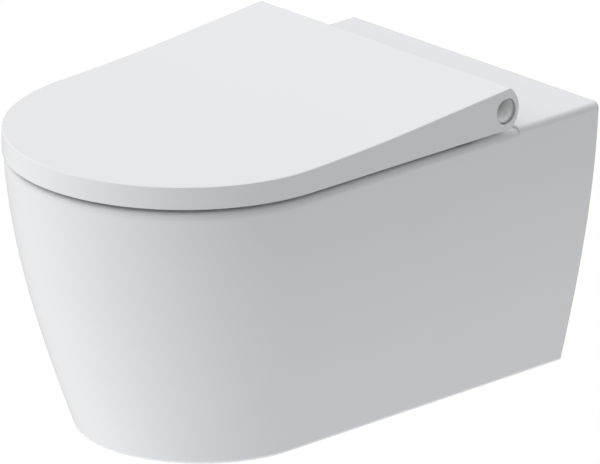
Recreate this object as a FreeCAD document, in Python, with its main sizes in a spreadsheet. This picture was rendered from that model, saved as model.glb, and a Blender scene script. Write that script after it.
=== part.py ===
import FreeCAD, Part
import Sketcher
import math
import os

# Wall hung toilet. Wall plane Y = 0, toilet towards -Y, up is +Z, origin between the two wall fixing holes.

doc = FreeCAD.newDocument("wall_hung_toilet")
dims = doc.addObject("Spreadsheet::Sheet", "dims")

SIZES = [
    # ceramic pan, outside
    ("pan_width", 360, "width over the rim"),
    ("pan_projection", 574, "wall to front of the rim"),
    ("pan_height", 287, "underside to rim"),
    ("rim_height", 80, "wall fixings up to the rim"),
    ("base_width", 255, "width of the underside"),
    ("base_projection", 500, "wall to front of the underside"),
    ("skirt_curve", 1.5, "how late the skirt curves in towards the underside"),
    ("skirt_wall", 11, "wall of the skirt"),
    ("deck_thickness", 14, "rim and deck"),
    ("floor_thickness", 12, "underside"),
    ("rim_radius", 6.5, "rounding of the outer rim edge"),
    ("base_radius", 6, "rounding of the lower edge"),
    ("shelf_rise", 3, "rear shelf above the rim"),
    ("shelf_depth", 109, "rear shelf, from the wall"),
    ("shelf_radius", 6.5, "rounding of the shelf edges"),
    ("step_bevel", 1.2, "broken edge of the step up to the shelf"),
    ("chamber_depth", 105, "open rear chamber, from the wall"),
    ("web_thickness", 14, "rear web on the wall"),
    ("web_drop", 38, "rear web below the wall fixings"),
    ("trim_depth", 10, "skirt past the wall plane before it is cut flat"),
    ("cut_past", 1, "cuts past the face they open"),
    # bowl
    ("rim_land", 40, "rim between skirt and bowl"),
    ("bowl_setback", 200, "wall to rear of the bowl"),
    ("bowl_corner", 100, "rounding of the rear corners of the bowl"),
    ("bowl_edge_radius", 6, "rounding of the inner rim edge"),
    ("ledge_depth", 41, "rim down to the flush ledge"),
    ("ledge_width", 12, "flush ledge"),
    ("bowl_wall", 10, "wall of the bowl"),
    ("bowl_curve", 1.2, "how late the bowl draws in"),
    ("sump_radius", 34, "half width of the bowl at its lowest"),
    ("sump_length", 16, "straight sides of the bowl at its lowest"),
    ("sump_corner", 30, "rear corners of the bowl at its lowest"),
    ("sump_setback", 326, "wall to middle of the sump"),
    ("sump_rounding", 16, "rounding of the sump floor"),
    # trapway and waste
    ("trap_radius", 28, "inside of the trapway"),
    ("trap_wall", 9, "wall of the trapway"),
    ("trap_lift", 2, "trapway above the floor of the sump"),
    ("trap_seal", 50, "depth of the water seal"),
    ("trap_run", 262, "wall to the end of the level run"),
    ("trap_bend", 50, "radius of the lower bend"),
    ("trap_rise", 70, "slope of the rising leg in degrees"),
    ("crest_bend", 45, "radius of the bend over the crest"),
    ("trap_entry", 8, "end of the trapway inside the spigot"),
    ("trap_entry_rise", 20, "end of the trapway above the middle of the waste"),
    ("waste_drop", 100, "wall fixings down to the waste"),
    ("waste_radius", 51, "outside of the waste spigot"),
    ("waste_wall", 9, "wall of the waste spigot"),
    ("waste_length", 72, "waste spigot behind its shoulder"),
    ("waste_recess", 3, "spigot end behind the wall plane"),
    ("shoulder_radius", 57, "shoulder of the waste spigot"),
    ("shoulder_length", 42, "shoulder of the waste spigot"),
    # flush inlet
    ("inlet_rise", 35, "wall fixings up to the flush inlet"),
    ("inlet_radius", 27.5, "inside of the flush inlet"),
    ("inlet_wall", 8.5, "wall of the flush inlet"),
    ("inlet_length", 76, "flush inlet"),
    ("inlet_margin", 12, "plate round the flush inlet"),
    ("channel_width", 72, "flush channel"),
    ("channel_height", 20, "flush channel"),
    ("channel_wall", 10, "wall of the flush channel"),
    ("inlet_throat", 20, "way from the inlet into the flush channel, radius"),
    ("seal_bore", 22.6, "bore of the inlet seal, radius"),
    ("seal_length", 44, "inlet seal"),
    ("seal_recess", 1, "inlet seal behind the wall plane"),
    ("seal_bevel", 1, "edge of the inlet seal"),
    # wall fixings
    ("fixing_spacing", 180, "between the wall fixing holes"),
    ("fixing_hole", 12.5, "hole in the rear web, radius"),
    ("stud_hole", 6.6, "clearance hole for the wall stud, radius"),
    ("bush_flange", 18, "flange of the fixing bush, radius"),
    ("bush_flange_depth", 4, "flange of the fixing bush"),
    ("washer_radius", 15, "washer"),
    ("washer_thickness", 2.5, "washer"),
    ("nut_flats", 19, "hexagon nut across flats"),
    ("nut_height", 10, "hexagon nut"),
    # hinge
    ("hinge_setback", 129.5, "wall to hinge axis"),
    ("hinge_rise", 25.2, "rim to hinge axis"),
    ("hinge_spacing", 155, "between the hinge fixing holes"),
    ("hinge_reach", 38, "hinge axis forward to the fixing hole"),
    ("hinge_hole", 10, "fixing hole in the deck, radius"),
    ("arm_width", 18, "hinge arm"),
    ("eye_radius", 10, "eye of the hinge arm"),
    ("foot_radius", 15, "foot of the hinge arm"),
    ("foot_thickness", 7, "foot of the hinge arm"),
    ("gasket_thickness", 1, "gasket under the foot"),
    ("shaft_radius", 5, "hinge shaft"),
    ("shaft_inset", 62, "symmetry plane to inner end of the shaft"),
    ("shaft_end_gap", 0.8, "end of the shaft to the damper or bush"),
    ("running_clearance", 0.05, "shaft in its bushes"),
    ("fit_clearance", 0.05, "pressed pieces"),
    ("shaft_chamfer", 0.8, "ends of the shaft"),
    ("web_lap", 1, "webs and vanes into the piece that they stand on"),
    ("web_shoulder", 6, "web above the foot of the hinge arm"),
    ("web_hold", 0.86, "web along the eye, in parts of its radius"),
    ("head_margin", 1.5, "web of the hinge arm behind the screw head"),
    ("grub_radius", 2, "grub screw"),
    ("grub_point", 0.6, "bevel of the grub screw"),
    ("grub_socket", 0.9, "socket of the grub screw, radius"),
    ("grub_socket_depth", 1.6, "socket of the grub screw"),
    ("grub_depth", 0.4, "grub screw below the eye"),
    ("screw_radius", 3, "hinge fixing screw"),
    ("screw_length", 58, "hinge fixing screw below the head"),
    ("screw_clearance", 0.3, "holes for the hinge fixing screw"),
    ("screw_head_radius", 5.5, "hinge fixing screw"),
    ("screw_head_height", 3.3, "hinge fixing screw"),
    ("screw_head_bevel", 1.5, "hinge fixing screw"),
    ("screw_socket", 2, "socket of the hinge fixing screw, radius"),
    ("screw_socket_depth", 2.2, "socket of the hinge fixing screw"),
    ("sleeve_length", 40, "expansion sleeve"),
    ("sleeve_bulge", 12.5, "expansion sleeve below the deck, radius"),
    ("sleeve_slope", 3, "expansion sleeve from the deck to its bulge"),
    ("cone_nut_radius", 8, "cone nut"),
    ("cone_nut_height", 9, "cone nut"),
    ("cone_nut_taper", 2, "cone nut, across its cone"),
    ("cone_nut_cone", 4, "cone nut, along its cone"),
    # lid
    ("lid_overhang", 1.5, "lid past the rim"),
    ("lid_gap", 5.6, "rim to underside of the lid skirt"),
    ("lid_front_height", 23.1, "lid skirt at the front"),
    ("lid_rear_height", 42.6, "lid at its rear edge"),
    ("lid_rear_overhang", 6, "rear top edge behind the hinge axis"),
    ("lid_bend_setback", 354, "wall to the bend of the lid top"),
    ("lid_bend_reach", 110, "bend of the lid top, each way"),
    ("lid_plate", 5, "top of the lid"),
    ("lid_skirt", 6, "skirt of the lid"),
    ("lid_edge_radius", 1.5, "rounding of the lid edges"),
    ("lid_trim", 10, "lid past its border before it is trimmed"),
    ("ear_bulge", 17.6, "rear of the ear behind the hinge axis"),
    ("ear_centre_rise", 1, "centre of the round rear above the hinge axis"),
    ("ear_width", 31.5, "ear of the lid"),
    ("ear_length", 36, "ear in front of the hinge axis"),
    ("ear_bore", 13.4, "bore in the ear, radius"),
    ("ear_wall", 4, "inner wall of the ear"),
    ("ear_hole_gap", 1.5, "hole for the shaft in the inner wall of the ear"),
    ("cap_recess", 2, "edge of the end cap behind the side of the lid"),
    ("cap_thickness", 6.6, "end cap at its edge"),
    ("cap_dome", 1.7, "rise of the dome on the end cap"),
    ("cap_gap", 0.8, "gap round the end cap"),
    ("cap_lip", 0.8, "flat edge of the end cap"),
    # seat
    ("seat_gap", 6, "rim to underside of the seat"),
    ("seat_thickness", 15.5, "seat ring"),
    ("seat_clearance", 3, "seat inside the lid skirt"),
    ("seat_rear_gap", 5.5, "hinge foot to rear of the seat ring"),
    ("seat_opening_width", 216, "opening of the seat"),
    ("seat_opening_corner", 85, "rear corners of the opening"),
    ("seat_opening_front", 52, "seat in front of the opening"),
    ("seat_opening_rear", 48, "seat behind the opening"),
    ("seat_inner_radius", 6, "rounding of the opening"),
    ("seat_outer_radius", 4, "rounding of the outer edge"),
    ("lug_inset", 91, "symmetry plane to the lug"),
    ("lug_clearance", 2.5, "lug to ear"),
    ("lug_radius", 12.5, "barrel of the lug"),
    ("lug_bore", 9.4, "bore of the lug, radius"),
    ("lug_root", 6, "lug into the seat ring"),
    ("lug_drop", 1, "lug below the top of the seat ring"),
    ("lug_lift", 2, "lug above the underside of the seat ring"),
    ("lug_hold", 0.9, "neck along the barrel of the lug, in parts of its radius"),
    # buffers
    ("buffer_radius", 8, "seat buffer"),
    ("buffer_inset", 26, "seat buffer in from the pan edge"),
    ("buffer_setback", 268, "wall to rear seat buffers"),
    ("buffer_angle", 45, "front seat buffers from the middle, in degrees"),
    ("buffer_stem", 4, "stem of the buffer, radius"),
    ("buffer_stem_length", 6, "stem of the buffer"),
    ("buffer_clearance", 0.2, "buffer to the face it rests on"),
    ("buffer_bevel", 1, "edge of the seat buffer"),
    ("lid_buffer_bevel", 0.5, "edge of the lid buffer"),
    ("lid_buffer_radius", 8, "lid buffer"),
    ("lid_buffer_stem", 2.5, "stem of the lid buffer, radius"),
    ("lid_buffer_stem_length", 2.5, "stem of the lid buffer"),
    ("lid_buffer_angle", 40, "lid buffers from the middle, in degrees"),
    ("lid_buffer_inset", 40, "lid buffer in from the pan edge"),
    # dampers
    ("damper_wall", 2.9, "wall of the lid damper housing"),
    ("damper_end", 3, "ends of the damper housings"),
    ("seat_damper_wall", 1.8, "wall of the seat damper housing"),
    ("rotor_wall", 1.4, "rotor on the shaft"),
    ("vane_width", 3, "vane of the rotor"),
    ("vane_clearance", 0.3, "vane in the housing"),
    ("rotor_gap", 0.5, "rotor to the ends of its housing"),
]

for row, (name, number, note) in enumerate(SIZES, start=1):
    dims.set(f"A{row}", name)
    dims.set(f"B{row}", str(number))
    dims.set(f"C{row}", note)
    dims.setAlias(f"B{row}", name)
doc.recompute()


def value(text):
    return float(dims.evalExpression(text))


# Sketches and features

def new_body(name):
    return doc.addObject("PartDesign::Body", name)


def new_sketch(body, name, plane, offset=None):
    origin = [item for item in body.Origin.OriginFeatures if item.Role == plane][0]
    sketch = body.newObject("Sketcher::SketchObject", name)
    sketch.AttachmentSupport = [(origin, "")]
    sketch.MapMode = "FlatFace"
    if offset:
        sketch.setExpression("AttachmentOffset.Base.z", offset)
    return sketch


def measure(sketch, kind, places, text):
    index = sketch.addConstraint(Sketcher.Constraint(kind, *places, value(text)))
    sketch.setExpression(f"Constraints[{index}]", text)


def relate(sketch, kind, *places):
    sketch.addConstraint(Sketcher.Constraint(kind, *places))


UPWARDS = FreeCAD.Vector(0, 0, 1)


def draw_line(sketch, start, end):
    sketch.addGeometry(Part.LineSegment(FreeCAD.Vector(*start, 0), FreeCAD.Vector(*end, 0)))


def draw_outline(sketch, corners):
    """Closed outline of straight lines, each corner placed from the sketch origin."""
    points = [FreeCAD.Vector(value(across), value(up), 0) for across, up in corners]
    first = sketch.GeometryCount
    count = len(points)
    for index in range(count):
        sketch.addGeometry(Part.LineSegment(points[index], points[(index + 1) % count]))
    for index in range(count):
        relate(sketch, "Coincident", first + index, 2, first + (index + 1) % count, 1)
    for index, (across, up) in enumerate(corners):
        measure(sketch, "DistanceX", (-1, 1, first + index, 1), across)
        measure(sketch, "DistanceY", (-1, 1, first + index, 1), up)


def draw_circle(sketch, across, up, radius):
    centre = FreeCAD.Vector(value(across), value(up), 0)
    index = sketch.addGeometry(Part.Circle(centre, UPWARDS, value(radius)))
    measure(sketch, "DistanceX", (-1, 1, index, 3), across)
    measure(sketch, "DistanceY", (-1, 1, index, 3), up)
    measure(sketch, "Radius", (index,), radius)


def draw_front(sketch, half_width, centre, rear):
    """Straight rear and sides, half-round front about a centre on the symmetry line."""
    half, mid, back = value(half_width), -value(centre), value(rear)
    front = Part.Circle(FreeCAD.Vector(0, mid, 0), UPWARDS, half)
    draw_line(sketch, (-half, back), (half, back))
    draw_line(sketch, (half, back), (half, mid))
    sketch.addGeometry(Part.ArcOfCircle(front, math.pi, 2 * math.pi))
    draw_line(sketch, (-half, mid), (-half, back))
    relate(sketch, "Coincident", 0, 2, 1, 1)
    relate(sketch, "Tangent", 1, 2, 2, 2)
    relate(sketch, "Tangent", 2, 1, 3, 1)
    relate(sketch, "Coincident", 3, 2, 0, 1)
    relate(sketch, "Horizontal", 0)
    relate(sketch, "Vertical", 1)
    relate(sketch, "Vertical", 3)
    relate(sketch, "PointOnObject", 2, 3, -2)
    measure(sketch, "DistanceX", (-1, 1, 0, 2), half_width)
    measure(sketch, "DistanceY", (-1, 1, 0, 2), rear)
    measure(sketch, "DistanceY", (-1, 1, 2, 3), f"-({centre})")


def draw_rounded(sketch, half_width, centre, rear, corner):
    """Half-round front about a centre on the symmetry line, straight sides and rear, round rear corners."""
    half, mid, back, turn = value(half_width), -value(centre), value(rear), value(corner)
    low, side = back - turn, half - turn
    quarter = math.pi / 2
    front = Part.Circle(FreeCAD.Vector(0, mid, 0), UPWARDS, half)
    right = Part.Circle(FreeCAD.Vector(side, low, 0), UPWARDS, turn)
    left = Part.Circle(FreeCAD.Vector(-side, low, 0), UPWARDS, turn)
    sketch.addGeometry(Part.ArcOfCircle(front, 2 * quarter, 4 * quarter))
    draw_line(sketch, (half, mid), (half, low))
    sketch.addGeometry(Part.ArcOfCircle(right, 0, quarter))
    draw_line(sketch, (side, back), (-side, back))
    sketch.addGeometry(Part.ArcOfCircle(left, quarter, 2 * quarter))
    draw_line(sketch, (-half, low), (-half, mid))
    for index in range(6):
        relate(sketch, "Tangent", index, 2, (index + 1) % 6, 1)
    relate(sketch, "PointOnObject", 0, 3, -2)
    relate(sketch, "Equal", 2, 4)
    relate(sketch, "Vertical", 1)
    relate(sketch, "Horizontal", 3)
    relate(sketch, "Vertical", 5)
    measure(sketch, "Radius", (0,), half_width)
    measure(sketch, "DistanceY", (-1, 1, 0, 3), f"-({centre})")
    measure(sketch, "DistanceY", (-1, 1, 3, 1), rear)
    measure(sketch, "Radius", (2,), corner)


def pad(body, sketch, length, both_ways=False, backwards=False):
    feature = body.newObject("PartDesign::Pad", sketch.Name + "_pad")
    feature.Profile = sketch
    feature.Midplane = both_ways
    feature.Reversed = backwards
    feature.setExpression("Length", length)
    sketch.Visibility = False
    return feature


def pocket(body, sketch, length, both_ways=False, backwards=False):
    feature = body.newObject("PartDesign::Pocket", sketch.Name + "_pocket")
    feature.Profile = sketch
    feature.Midplane = both_ways
    feature.Reversed = backwards
    feature.setExpression("Length", length)
    return feature


def revolve(body, sketch, axis):
    feature = body.newObject("PartDesign::Revolution", sketch.Name + "_turn")
    feature.Profile = sketch
    feature.ReferenceAxis = (sketch, [axis])
    feature.Angle = 360
    return feature


def loft(body, sketches):
    feature = body.newObject("PartDesign::AdditiveLoft", body.Name + "_loft")
    feature.Profile = sketches[0]
    feature.Sections = sketches[1:]
    feature.Ruled = False
    return feature


def fillet(body, feature, wanted, radius):
    doc.recompute()
    edges = [f"Edge{index}" for index, edge in enumerate(feature.Shape.Edges, start=1) if wanted(edge)]
    rounding = body.newObject("PartDesign::Fillet", feature.Name + "_round")
    rounding.Base = (feature, edges)
    rounding.setExpression("Radius", radius)
    return rounding


def place(item, across=None, out=None, up=None, turn=None):
    if turn:
        item.Placement = FreeCAD.Placement(FreeCAD.Vector(), turn)
    for axis, text in (("x", across), ("y", out), ("z", up)):
        if text:
            item.setExpression(f"Placement.Base.{axis}", text)


def box(name, spans):
    """Block between two limits along X, Y and Z."""
    item = doc.addObject("Part::Box", name)
    for prop, axis, (low, high) in zip(("Length", "Width", "Height"), "xyz", spans):
        item.setExpression(prop, f"({high}) - ({low})")
        item.setExpression(f"Placement.Base.{axis}", low)
    return item


def cylinder_along_y(name, radius, across, front, rear, up):
    """Cylinder from its front end back towards the wall."""
    item = doc.addObject("Part::Cylinder", name)
    item.Placement.Rotation = FreeCAD.Rotation(FreeCAD.Vector(1, 0, 0), -90)
    item.setExpression("Radius", radius)
    item.setExpression("Height", f"({rear}) - ({front})")
    place(item, across, front, up)
    return item


def join(name, items):
    item = doc.addObject("Part::MultiFuse", name)
    item.Shapes = items
    return item


def subtract(name, base, tool):
    item = doc.addObject("Part::Cut", name)
    item.Base = base
    item.Tool = tool
    return item


def overlap(name, base, tool):
    item = doc.addObject("Part::Common", name)
    item.Base = base
    item.Tool = tool
    return item


def twin_of(item):
    twin = doc.addObject("Part::Mirroring", item.Name + "_twin")
    twin.Source = item
    twin.Normal = FreeCAD.Vector(1, 0, 0)
    return twin


def mirrored_sets(label, items):
    """Pieces and their twins on the other side of the symmetry plane, as separate solids."""
    group = doc.addObject("Part::Compound", label + "_group")
    group.Links = items + [twin_of(item) for item in items]
    return group


finished = []


def finish(item, label):
    item.Label = label
    finished.append(item)


HALF_TURN = FreeCAD.Rotation(FreeCAD.Vector(0, 0, 1), 180)
RIM = "dims.rim_height"
SHELF = f"({RIM} + dims.shelf_rise)"
BASE = "(dims.rim_height - dims.pan_height)"
DECK_LOW = f"({RIM} - dims.deck_thickness)"
FLOOR_TOP = f"({BASE} + dims.floor_thickness)"
FRONT_CENTRE = "(dims.pan_projection - dims.pan_width / 2)"
PAN_SPAN = ("-dims.pan_width", "dims.pan_width")
PAST_WALL = "2 * dims.trim_depth"


# Ceramic pan: skirt, lofted from the rim down to the underside, hollow and cut flat on the wall plane

def skirt_half(level):
    return f"((dims.pan_width - (dims.pan_width - dims.base_width) * ({level})^dims.skirt_curve) / 2)"


def skirt_centre(level):
    shrink = f"(dims.pan_projection - dims.base_projection) * ({level})^dims.skirt_curve"
    return f"(dims.pan_projection - {shrink} - {skirt_half(level)})"


def skirt_body(name, top, levels, inset):
    """Skirt through the outlines at some levels below the rim, the first of them drawn at a given height."""
    body = new_body(name)
    sketches = []
    for number, level in enumerate(levels):
        height = f"{RIM} - dims.pan_height * ({level})" if number else top
        sketch = new_sketch(body, f"{name}_{number}", "XY_Plane", height)
        draw_front(sketch, f"{skirt_half(level)} - {inset}", skirt_centre(level), "dims.trim_depth")
        sketches.append(sketch)
    return body, loft(body, sketches)


def lies_at(edge, height):
    return abs(edge.BoundBox.ZMin - height) < 0.01 and abs(edge.BoundBox.ZMax - height) < 0.01


def draw_trim(sketch, front, rear):
    draw_outline(sketch, [
        ("-dims.pan_width", front),
        ("dims.pan_width", front),
        ("dims.pan_width", rear),
        ("-dims.pan_width", rear),
    ])


rim_z = value(RIM)
shelf_z = value(SHELF)
base_z = value(BASE)
SKIRT_LEVELS = ["0", "0.3", "0.65", "1"]
PAST_FRONT = "(-dims.pan_projection - dims.trim_depth)"

front_skirt, front_loft = skirt_body("front_skirt", SHELF, SKIRT_LEVELS, "0")
above_rim = new_sketch(front_skirt, "above_rim", "XY_Plane", RIM)
draw_trim(above_rim, PAST_FRONT, PAST_WALL)
front_trim = pocket(front_skirt, above_rim, "dims.shelf_rise + dims.cut_past", backwards=True)
front_rounding = fillet(
    front_skirt, front_trim,
    lambda edge: lies_at(edge, rim_z) and edge.BoundBox.YMin < -0.5,
    "dims.rim_radius",
)
fillet(
    front_skirt, front_rounding,
    lambda edge: lies_at(edge, base_z) and edge.BoundBox.YMin < -0.5,
    "dims.base_radius",
)

rear_skirt, rear_loft = skirt_body("rear_skirt", SHELF, SKIRT_LEVELS, "0")
rear_rounding = fillet(
    rear_skirt, rear_loft,
    lambda edge: lies_at(edge, shelf_z) and edge.BoundBox.YMin < -0.5,
    "dims.shelf_radius",
)
fillet(
    rear_skirt, rear_rounding,
    lambda edge: lies_at(edge, base_z) and edge.BoundBox.YMin < -0.5,
    "dims.base_radius",
)
before_shelf = new_sketch(rear_skirt, "before_shelf", "YZ_Plane")
draw_outline(before_shelf, [
    (PAST_FRONT, f"{BASE} - dims.cut_past"),
    ("-dims.shelf_depth", f"{BASE} - dims.cut_past"),
    ("-dims.shelf_depth", f"{SHELF} - dims.step_bevel"),
    ("dims.step_bevel - dims.shelf_depth", SHELF),
    ("dims.step_bevel - dims.shelf_depth", f"{SHELF} + dims.cut_past"),
    (PAST_FRONT, f"{SHELF} + dims.cut_past"),
])
pocket(rear_skirt, before_shelf, "2 * dims.pan_width", both_ways=True)

behind_step = box("behind_step", [
    PAN_SPAN,
    ("-dims.shelf_depth", PAST_WALL),
    (f"{BASE} - dims.cut_past", f"{RIM} + dims.cut_past"),
])
outside = join("pan_outside", [subtract("front_part", front_skirt, behind_step), rear_skirt])

hollow_top = "dims.deck_thickness / dims.pan_height"
hollow_low = "1 - dims.floor_thickness / dims.pan_height"
hollow = skirt_body("pan_hollow", DECK_LOW, [hollow_top, "0.3", "0.65", hollow_low], "dims.skirt_wall")[0]

# Ceramic pan: rear web that carries the wall fixings, with a gap for the flush inlet

INLET_SIDE = "(dims.inlet_radius + dims.inlet_wall + dims.inlet_margin)"
web_block = box("rear_web_block", [
    PAN_SPAN,
    ("-dims.web_thickness", PAST_WALL),
    ("-dims.web_drop", RIM),
])
web_gap = box("rear_web_gap", [
    (f"-{INLET_SIDE}", INLET_SIDE),
    ("-dims.web_thickness - dims.cut_past", PAST_WALL),
    ("-dims.web_drop - dims.cut_past", RIM),
])
room = subtract("pan_room", hollow, subtract("rear_web", web_block, web_gap))
floor_opening = box("floor_opening", [
    (f"dims.skirt_wall - {skirt_half('1')}", f"{skirt_half('1')} - dims.skirt_wall"),
    ("-dims.chamber_depth", PAST_WALL),
    (f"{BASE} - dims.cut_past", f"{FLOOR_TOP} + dims.cut_past"),
])
wall_side = box("wall_side", [
    PAN_SPAN,
    ("0", PAST_WALL),
    (f"{BASE} - dims.cut_past", f"{SHELF} + dims.cut_past"),
])

# Ceramic pan: rim round the bowl, down to the flush ledge

BOWL_HALF = "(dims.pan_width / 2 - dims.rim_land)"
LEDGE = f"({RIM} - dims.ledge_depth)"
LEDGE_LOW = f"({LEDGE} - dims.bowl_wall)"


def draw_mouth(sketch, grow):
    draw_rounded(sketch, f"{BOWL_HALF} + {grow}", FRONT_CENTRE, f"{grow} - dims.bowl_setback",
                 f"dims.bowl_corner + {grow}")


def mouth_block(name, grow, low, high):
    body = new_body(name)
    sketch = new_sketch(body, name + "_plan", "XY_Plane", low)
    draw_mouth(sketch, grow)
    return body, pad(body, sketch, f"({high}) - ({low})")


rim_plug = mouth_block(
    "rim_plug", "dims.bowl_wall", f"{LEDGE_LOW} - dims.cut_past", f"{RIM} + dims.cut_past")[0]
rim_ring, rim_pad = mouth_block("rim_ring", "dims.bowl_wall", LEDGE_LOW, RIM)
mouth = new_sketch(rim_ring, "rim_mouth", "XY_Plane", RIM)
draw_mouth(mouth, "0")
rim_cut = pocket(rim_ring, mouth, f"{RIM} - {LEDGE_LOW}")
mouth_reach = value(f"{BOWL_HALF} + dims.bowl_wall / 2")
mouth_rear = value("dims.bowl_wall / 2 - dims.bowl_setback")


def round_mouth(edge):
    inside = max(abs(edge.BoundBox.XMin), abs(edge.BoundBox.XMax)) < mouth_reach
    return lies_at(edge, rim_z) and inside and edge.BoundBox.YMax < mouth_rear


fillet(rim_ring, rim_cut, round_mouth, "dims.bowl_edge_radius")

# Flush way: plate in the gap of the rear web, inlet pipe and the channel that feeds the ledge

inlet_plate = box("inlet_plate", [
    (f"-{INLET_SIDE}", INLET_SIDE),
    ("-dims.web_thickness", "0"),
    ("-dims.web_drop", DECK_LOW),
])
inlet_outside = cylinder_along_y(
    "inlet_outside", "dims.inlet_radius + dims.inlet_wall", "0", "-dims.inlet_length", "0", "dims.inlet_rise")
inlet_inside = cylinder_along_y(
    "inlet_inside", "dims.inlet_radius", "0", "dims.inlet_wall - dims.inlet_length", "dims.cut_past",
    "dims.inlet_rise")


def channel(name, wall, front, rear):
    return box(name, [
        (f"-dims.channel_width / 2 - {wall}", f"dims.channel_width / 2 + {wall}"),
        (front, rear),
        (f"{LEDGE} - {wall}", f"{LEDGE} + dims.channel_height + {wall}"),
    ])


CHANNEL_FRONT = "(-dims.bowl_setback - dims.rim_land / 2)"
channel_outside = channel(
    "channel_outside", "dims.channel_wall", "-dims.bowl_setback", "dims.channel_wall - dims.inlet_length")
channel_inside = channel("channel_inside", "0", CHANNEL_FRONT, "-dims.inlet_length")
channel_line = channel("channel_line", "0", CHANNEL_FRONT, "0")
throat_round = cylinder_along_y(
    "throat_round", "dims.inlet_throat", "0", "-dims.inlet_length - dims.cut_past", "-dims.web_thickness",
    "dims.inlet_rise")
throat = overlap("throat", throat_round, channel_line)
under_deck = box("under_deck", [
    PAN_SPAN,
    ("-dims.pan_projection", "0"),
    (BASE, DECK_LOW),
])
flush_outside = join("flush_way_outside", [inlet_plate, inlet_outside, channel_outside])
flush_solid = overlap("flush_way_solid", flush_outside, under_deck)
flush_room = join("flush_way_room", [rim_plug, inlet_inside, channel_inside, throat])

# Ceramic pan: holes for the wall fixings and the hinge fixings


def fixing_hole(name, side):
    return cylinder_along_y(
        name, "dims.fixing_hole", f"{side} * dims.fixing_spacing / 2",
        "-dims.web_thickness - dims.cut_past", "dims.cut_past", "0")


def deck_hole(name, side):
    item = doc.addObject("Part::Cylinder", name)
    item.setExpression("Radius", "dims.hinge_hole")
    item.setExpression("Height", "dims.deck_thickness + 2 * dims.cut_past")
    place(item, f"{side} * dims.hinge_spacing / 2", "-dims.hinge_setback - dims.hinge_reach",
          f"{DECK_LOW} - dims.cut_past")
    return item


holes = [
    fixing_hole("fixing_hole_left", "-1"),
    fixing_hole("fixing_hole_right", "1"),
    deck_hole("deck_hole_left", "-1"),
    deck_hole("deck_hole_right", "1"),
]
shell = subtract("pan_shell", outside, join("pan_cuts", [room, floor_opening, wall_side, rim_plug]))
finish(
    subtract("pan_piece", join("pan_solid", [shell, rim_ring]), join("pan_holes", [channel_inside] + holes)),
    "ceramic_pan",
)
finish(subtract("flush_way_piece", flush_solid, flush_room), "flush_way")

# Bowl: cast with a flange that closes the rim below the ledge, and stands on the floor of the pan

SUMP = f"({FLOOR_TOP} + dims.bowl_wall)"


def bowl_section(body, number, level, wall, drop):
    def between(top, low):
        return f"({top} - ({top} - {low}) * ({level})^dims.bowl_curve)"

    half = between(f"({BOWL_HALF} - dims.ledge_width)", "dims.sump_radius")
    centre = between(FRONT_CENTRE, "(dims.sump_setback + dims.sump_length / 2)")
    rear = between("(dims.bowl_setback + dims.ledge_width)",
                   "(dims.sump_setback - dims.sump_length / 2 - dims.sump_radius)")
    corner = between("(dims.bowl_corner - dims.ledge_width)", "dims.sump_corner")
    height = f"{LEDGE} - ({LEDGE} - {SUMP}) * ({level}) - {drop}"
    sketch = new_sketch(body, f"{body.Name}_{number}", "XY_Plane", height)
    draw_rounded(sketch, f"{half} + {wall}", centre, f"{wall} - {rear}", f"{corner} + {wall}")
    return sketch


def bowl_body(name, wall):
    body = new_body(name)
    levels = ["0", "0.3", "0.65"]
    sketches = [bowl_section(body, number, level, wall, "0") for number, level in enumerate(levels)]
    sketches.append(bowl_section(body, len(levels), "1", wall, wall))
    return body, loft(body, sketches)


bowl_outside = bowl_body("bowl_outside", "dims.bowl_wall")[0]
bowl_inside, bowl_inside_loft = bowl_body("bowl_inside", "0")
sump_z = value(SUMP)
fillet(
    bowl_inside, bowl_inside_loft,
    lambda edge: abs(edge.BoundBox.ZMax - sump_z) < 0.01,
    "dims.sump_rounding",
)
bowl_flange = mouth_block("bowl_flange", "0", LEDGE_LOW, LEDGE)[0]

# Trapway: rises behind the bowl, turns over the crest and falls into the waste spigot

TRAP_LOW = f"({SUMP} + dims.trap_lift + dims.trap_radius)"
TRAP_CREST = f"({TRAP_LOW} + 2 * dims.trap_radius + dims.trap_seal)"
WASTE = "(-dims.waste_drop)"
SHOULDER = "(-dims.waste_recess - dims.waste_length)"
SPIGOT_FRONT = f"({SHOULDER} - dims.shoulder_length)"
TRAP_END = f"({SPIGOT_FRONT} + dims.waste_wall + dims.trap_entry)"
TRAP_END_Z = f"({WASTE} + dims.trap_entry_rise)"


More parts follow.
